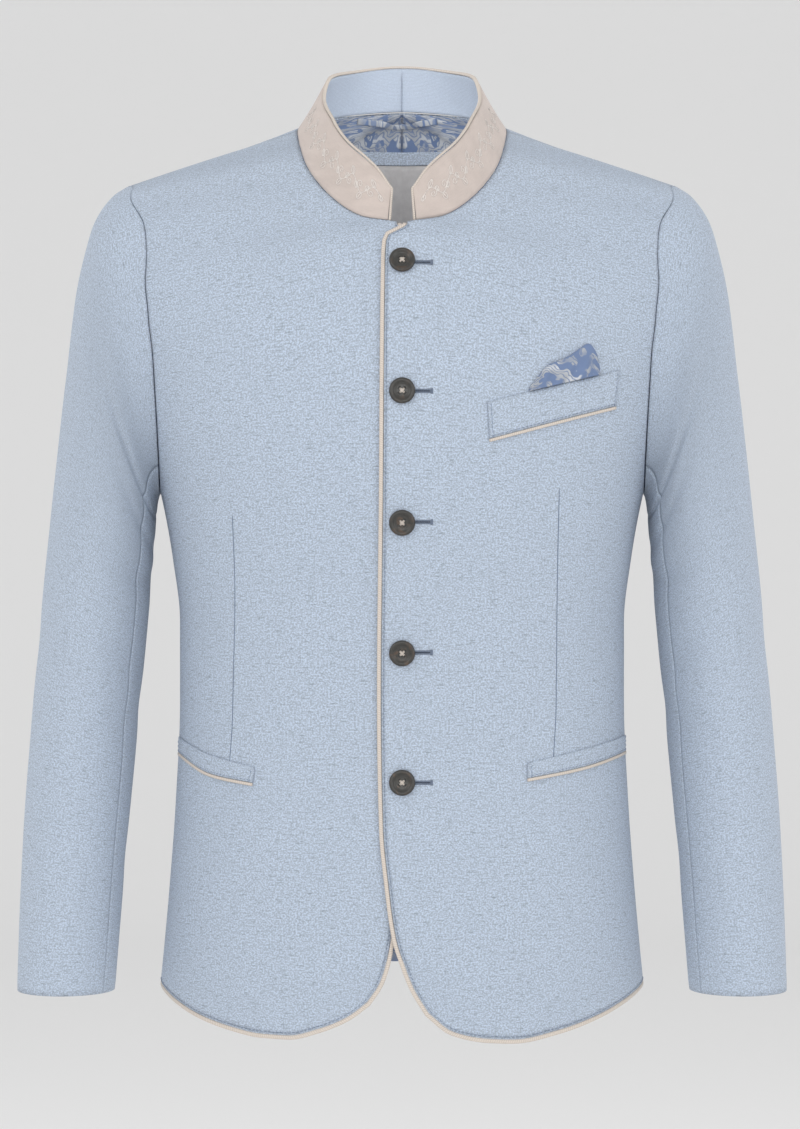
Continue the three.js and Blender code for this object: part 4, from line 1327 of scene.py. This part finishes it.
def make_button(index):
    """A horn button with a raised rim and four drilled holes, and its crossed thread."""
    place = button_frame(index)
    r = BUTTON_RADIUS
    profile = [
        (0.02, 0), (r * 0.8, 0), (r * 0.93, 0.4), (r, 1.2), (r, 2.2), (r * 0.97, 3.0),
        (r * 0.90, 3.5), (r * 0.82, 3.6), (r * 0.73, 3.4), (r * 0.665, 2.75), (r * 0.6, 2.3),
        (r * 0.4, 2.15), (0.02, 2.1),
    ]
    rings = np.array([circle(0, 0, radius, height, 56) for radius, height in profile])
    button = ring_tube(f"horn_button_{index + 1}", [placed(rings, place)], horn_finish())
    holes = []
    for x in (-HOLE_PLACE, HOLE_PLACE):
        for y in (-HOLE_PLACE, HOLE_PLACE):
            hole = [circle(x, y, HOLE_RADIUS, height, 14) for height in (-1.0, 5.0)]
            holes.append(placed(np.array(hole), place))
    cutter = ring_tube(f"hole_cutter_{index + 1}", holes, horn_finish())
    cut = button.modifiers.new("holes", "BOOLEAN")
    cut.object = cutter
    cut.solver = "EXACT"
    shown = button.evaluated_get(bpy.context.evaluated_depsgraph_get())
    drilled = bpy.data.meshes.new_from_object(shown)
    button.modifiers.clear()
    button.data = drilled
    bpy.data.objects.remove(cutter)
    drilled.shade_smooth()
    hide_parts(f"button_{index + 1}")
    t = np.linspace(0, 1, 9)
    threads = []
    for hand in (1, -1):
        for shift in (-BUTTON_THREAD, BUTTON_THREAD):
            across = mix(-HOLE_PLACE, HOLE_PLACE, t)
            aside = across * hand - shift * hand * 0.7
            height = 1.3 + 1.5 * np.sin(math.pi * t) ** 0.6
            line = np.stack([across + shift * 0.7, aside, height], axis=1)
            up = np.broadcast_to(place[3], line.shape)
            threads.append(cord_rings(placed(line, place), up, BUTTON_THREAD, sides=7, pinch=False))
    finish = thread_finish("cream thread", CREAM_THREAD)
    knot = ring_tube(f"button_thread_{index + 1}", threads, finish)


def make_buttonhole(index):
    """A worked buttonhole beside its button: the slit, its purled edges and the bar."""
    z = button_height(index)
    x = np.linspace(SLIT_START, SLIT_END, 24)
    name = f"buttonhole_{index + 1}"
    slit, up = on_front(x, np.full(x.shape, z), 1, 0.05)
    dark = thread_finish("slit shadow", SLIT_SHADOW)
    ring_tube(f"{name}_slit", [cord_rings(slit, up, 0.55, flat=0.4)], dark)
    across = np.arange(3.5, 21.6, SILK_STEP)[:, None]
    reach = np.array([0.25, 0.8, 1.35, 1.75])
    bar = np.array([21.9, 22.5, 23.1])[:, None]
    tall = np.linspace(-2.3, 2.3, 5)
    tubes = []
    for at, heights, sink in ((across, reach, 0.3), (across, -reach, 0.3), (bar, tall, 0.0)):
        lines, normals = on_front(at, z + heights, 1, 0.24)
        lines[:, [0, -1]] -= normals[:, [0, -1]] * sink
        tubes += [cord_rings(line, normal, 0.35, sides=5) for line, normal in zip(lines, normals)]
    thread = thread_finish("buttonhole silk", tuple(sewing().buttonhole))
    ring_tube(f"{name}_silk", tubes, thread)


# The studio


def make_backdrop():
    """A wide sheet of pale paper that bends from the floor up into a wall."""
    floor, near, wall_y, bend, half, top = -1.3, -9.0, 8.5, 2.5, 14.0, 14.0
    turns = np.linspace(0, math.pi / 2, 20)
    line = [(near, floor)]
    line += [(wall_y - bend + bend * math.sin(a), floor + bend - bend * math.cos(a)) for a in turns]
    line += [(wall_y, top)]
    verts = [(x, y, z) for y, z in line for x in (-half, half)]
    faces = [(2 * k, 2 * k + 1, 2 * k + 3, 2 * k + 2) for k in range(len(line) - 1)]
    mesh = bpy.data.meshes.new("backdrop")
    mesh.from_pydata(verts, [], faces)
    mesh.shade_smooth()

    def paper(tree, shader):
        grain = node(tree, "ShaderNodeTexNoise", Scale=3.0, Detail=2.0)
        shade = blended(tree, grain.outputs["Fac"], (0.85, 0.85, 0.85), (0.87, 0.87, 0.87))
        tree.links.new(shade, shader.inputs["Base Color"])
        shader.inputs["Roughness"].default_value = 1.0
        shader.inputs["Specular IOR Level"].default_value = 0.0

    mesh.materials.append(material("pale paper", paper))
    backdrop = bpy.data.objects.new("backdrop", mesh)
    bpy.context.scene.collection.objects.link(backdrop)


def add_light(name, place, target, size, power):
    lamp = bpy.data.lights.new(name, "AREA")
    lamp.shape = "RECTANGLE"
    lamp.size, lamp.size_y = size
    lamp.energy = power
    light = bpy.data.objects.new(name, lamp)
    light.location = place
    light.rotation_euler = (Vector(target) - Vector(place)).to_track_quat("-Z", "Y").to_euler()
    bpy.context.scene.collection.objects.link(light)


def make_studio():
    make_backdrop()
    look = bpy.context.scene.jacket_studio
    middle = (0, 0, -0.33)
    add_light("key light", (-2.1, -2.5, 0.8), middle, (1.6, 2.0), look.key)
    add_light("fill light", (2.2, -2.3, 0.2), middle, (1.8, 2.2), look.fill)
    add_light("front light", (0, -3.4, 0.1), (0, 0, -0.1), (1.2, 1.2), look.front)
    add_light("neck light", (0, -0.045, -0.01), (0, 0.06, -0.06), (0.06, 0.03), look.neck)
    add_light("back light left", (-2.2, 1.6, 1.2), middle, (1.2, 1.6), look.back)
    add_light("back light right", (2.2, 1.6, 1.2), middle, (1.2, 1.6), look.back)
    world = bpy.data.worlds.new("soft room")
    world.use_nodes = True
    sky = world.node_tree.nodes["Background"]
    sky.inputs["Color"].default_value = (1, 1, 1, 1)
    sky.inputs["Strength"].default_value = look.room
    bpy.context.scene.world = world
    bpy.context.scene.view_settings.view_transform = "Standard"
    lens = bpy.data.cameras.new("camera")
    lens.sensor_width = 36
    lens.lens = look.lens
    camera = bpy.data.objects.new("camera", lens)
    camera.location = (-0.0016, -2.8, -0.347)
    camera.rotation_euler = (math.pi / 2, 0, 0)
    bpy.context.scene.collection.objects.link(camera)
    bpy.context.scene.camera = camera


# Settings, operators and panel


def shade(red, green, blue):
    """A display colour, 0 to 255, as the linear colour that Blender keeps."""
    parts = [value / 255 for value in (red, green, blue)]
    return tuple(p / 12.92 if p <= 0.04045 else ((p + 0.055) / 1.055) ** 2.4 for p in parts)


def colour_setting(name, description, default):
    return FloatVectorProperty(
        name=name, description=description, default=default, subtype="COLOR", min=0, max=1)


def length_setting(name, description, default, least):
    return FloatProperty(name=name, description=description, default=default, unit="LENGTH", min=least)


def power_setting(name, description, default):
    return FloatProperty(name=name, description=description, default=default, unit="POWER")


class JacketLook(bpy.types.PropertyGroup):
    cloth: colour_setting("Cloth", "Colour of the light blue cloth", shade(183, 195, 211))
    collar: colour_setting("Collar", "Colour of the brushed beige collar", shade(195, 183, 176))
    facing: colour_setting("Facing", "Colour of the collar's blue facing", shade(190, 201, 217))
    piping: colour_setting("Piping", "Colour of the cream piping", shade(206, 196, 186))
    lining: colour_setting("Lining", "Blue ground of the lining", shade(108, 127, 162))
    leaves: colour_setting("Leaves", "Grey-cream leaves of the lining", shade(174, 177, 181))
    band: colour_setting("Strip", "Colour of the strip below the lining", shade(188, 199, 214))
    patch: colour_setting("Label", "Colour of the bare label", shade(204, 201, 200))
    horn: colour_setting("Horn", "Colour of the buttons", shade(50, 49, 46))
    thread: FloatProperty(
        name="Thread", description="Width of the cloth's threads in millimetres",
        default=1.05, min=0.4, max=3)


class JacketSewing(bpy.types.PropertyGroup):
    stitch: length_setting("Stitch", "Length of one stitch", 0.0021, 0.001)
    gap: length_setting("Gap", "Gap between stitches", 0.0012, 0.0005)
    thread: length_setting("Thread", "Thickness of the sewing thread", 0.0006, 0.0002)
    colour: colour_setting("Thread colour", "Colour of the topstitching", shade(138, 153, 178))
    buttonhole: colour_setting("Buttonhole silk", "Colour of the buttonholes", shade(126, 138, 158))
    scroll: colour_setting("Collar silk", "Colour of the collar's leaf scroll", shade(236, 228, 222))
    buttons: IntProperty(
        name="Buttons", description="Buttons down the front", default=BUTTON_COUNT, min=1)


class JacketStudio(bpy.types.PropertyGroup):
    key: power_setting("Key light", "Power of the key light", 22)
    fill: power_setting("Fill light", "Power of the fill light", 18)
    neck: power_setting("Neck light", "Power inside the neck", 0.09)
    front: power_setting("Front light", "Power of the front light", 14)
    back: power_setting("Back lights", "Power of each back light", 12)
    room: FloatProperty(name="Room", description="Strength of the room's light", default=0.82, min=0)
    lens: FloatProperty(
        name="Lens", description="Focal length of the camera", default=111.6, unit="CAMERA")


class MakeFronts(bpy.types.Operator):
    """Make both fronts with their piping, darts and topstitching"""

    bl_idname = "jacket.fronts"
    bl_label = "Fronts"

    def execute(self, context):
        make_front("front_left", 1, LEFT_EDGE, LEFT_HEM)
        make_front("front_right", -1, RIGHT_EDGE, RIGHT_HEM)
        return {"FINISHED"}


class MakeBacks(bpy.types.Operator):
    """Make both halves of the back"""

    bl_idname = "jacket.backs"
    bl_label = "Backs"

    def execute(self, context):
        make_back("back_left", 1)
        make_back("back_right", -1)
        return {"FINISHED"}


class MakeSleeves(bpy.types.Operator):
    """Make the two-piece sleeves"""

    bl_idname = "jacket.sleeves"
    bl_label = "Sleeves"

    def execute(self, context):
        make_sleeve("sleeve_left", 1)
        make_sleeve("sleeve_right", -1)
        return {"FINISHED"}


class MakeCollar(bpy.types.Operator):
    """Make the stand collar, its facing, its piping and its leaf scroll"""

    bl_idname = "jacket.collar"
    bl_label = "Collar"

    def execute(self, context):
        make_collar()
        make_embroidery(1)
        make_embroidery(-1)
        return {"FINISHED"}


class MakePockets(bpy.types.Operator):
    """Make the breast and hip pockets and the puff of cloth"""

    bl_idname = "jacket.pockets"
    bl_label = "Pockets"

    def execute(self, context):
        make_welt("chest_welt", "chest_piping", 1, CHEST_WELT)
        make_welt("hip_welt_left", "hip_piping_left", 1, LEFT_HIP_WELT)
        make_welt("hip_welt_right", "hip_piping_right", -1, RIGHT_HIP_WELT)
        make_puff()
        return {"FINISHED"}


class MakeInside(bpy.types.Operator):
    """Make the lining, strip, label and hanger tape that show through the neck"""

    bl_idname = "jacket.inside"
    bl_label = "Inside"

    def execute(self, context):
        make_lining("back_lining_left_cloth", "back_lining_left", 1)
        make_lining("back_lining_right_cloth", "back_lining_right", -1)
        make_inside_patch("neck_strip", "neck_band", band_finish(), 46, -5, -15.5, 1.9)
        make_inside_patch("neck_label", "neck_patch", patch_finish(), 40, -16, -72, 1.2)
        make_hanger_loop()
        return {"FINISHED"}


class MakeButtons(bpy.types.Operator):
    """Make the horn buttons, their thread and the worked buttonholes"""

    bl_idname = "jacket.buttons"
    bl_label = "Buttons"

    def execute(self, context):
        for index in range(context.scene.jacket_sewing.buttons):
            make_button(index)
            make_buttonhole(index)
        return {"FINISHED"}


class MakeStudio(bpy.types.Operator):
    """Make the backdrop, the lights and the camera"""

    bl_idname = "jacket.studio"
    bl_label = "Studio"

    def execute(self, context):
        make_studio()
        return {"FINISHED"}


OPERATORS = [
    MakeFronts, MakeBacks, MakeSleeves, MakeCollar, MakePockets, MakeInside, MakeButtons, MakeStudio,
]


class JacketPanel(bpy.types.Panel):
    """The jacket's settings and the steps that make it"""

    bl_idname = "VIEW3D_PT_jacket"
    bl_label = "Trachten jacket"
    bl_space_type = "VIEW_3D"
    bl_region_type = "UI"
    bl_category = "Jacket"

    def draw(self, context):
        scene = context.scene
        for group in (scene.jacket_look, scene.jacket_sewing, scene.jacket_studio):
            box = self.layout.box()
            for name in group.bl_rna.properties.keys():
                if name not in {"rna_type", "name"}:
                    box.prop(group, name)
        for operator in OPERATORS:
            self.layout.operator(operator.bl_idname)


CLASSES = [JacketLook, JacketSewing, JacketStudio, *OPERATORS, JacketPanel]


def register():
    for item in CLASSES:
        bpy.utils.register_class(item)
    bpy.types.Scene.jacket_look = PointerProperty(type=JacketLook)
    bpy.types.Scene.jacket_sewing = PointerProperty(type=JacketSewing)
    bpy.types.Scene.jacket_studio = PointerProperty(type=JacketStudio)


def unregister():
    del bpy.types.Scene.jacket_studio
    del bpy.types.Scene.jacket_sewing
    del bpy.types.Scene.jacket_look
    for item in reversed(CLASSES):
        bpy.utils.unregister_class(item)


def main():
    register()
    bpy.ops.jacket.fronts()
    bpy.ops.jacket.backs()
    bpy.ops.jacket.sleeves()
    bpy.ops.jacket.collar()
    bpy.ops.jacket.pockets()
    bpy.ops.jacket.inside()
    bpy.ops.jacket.buttons()
    bpy.ops.jacket.studio()


if __name__ == "__main__":
    main()
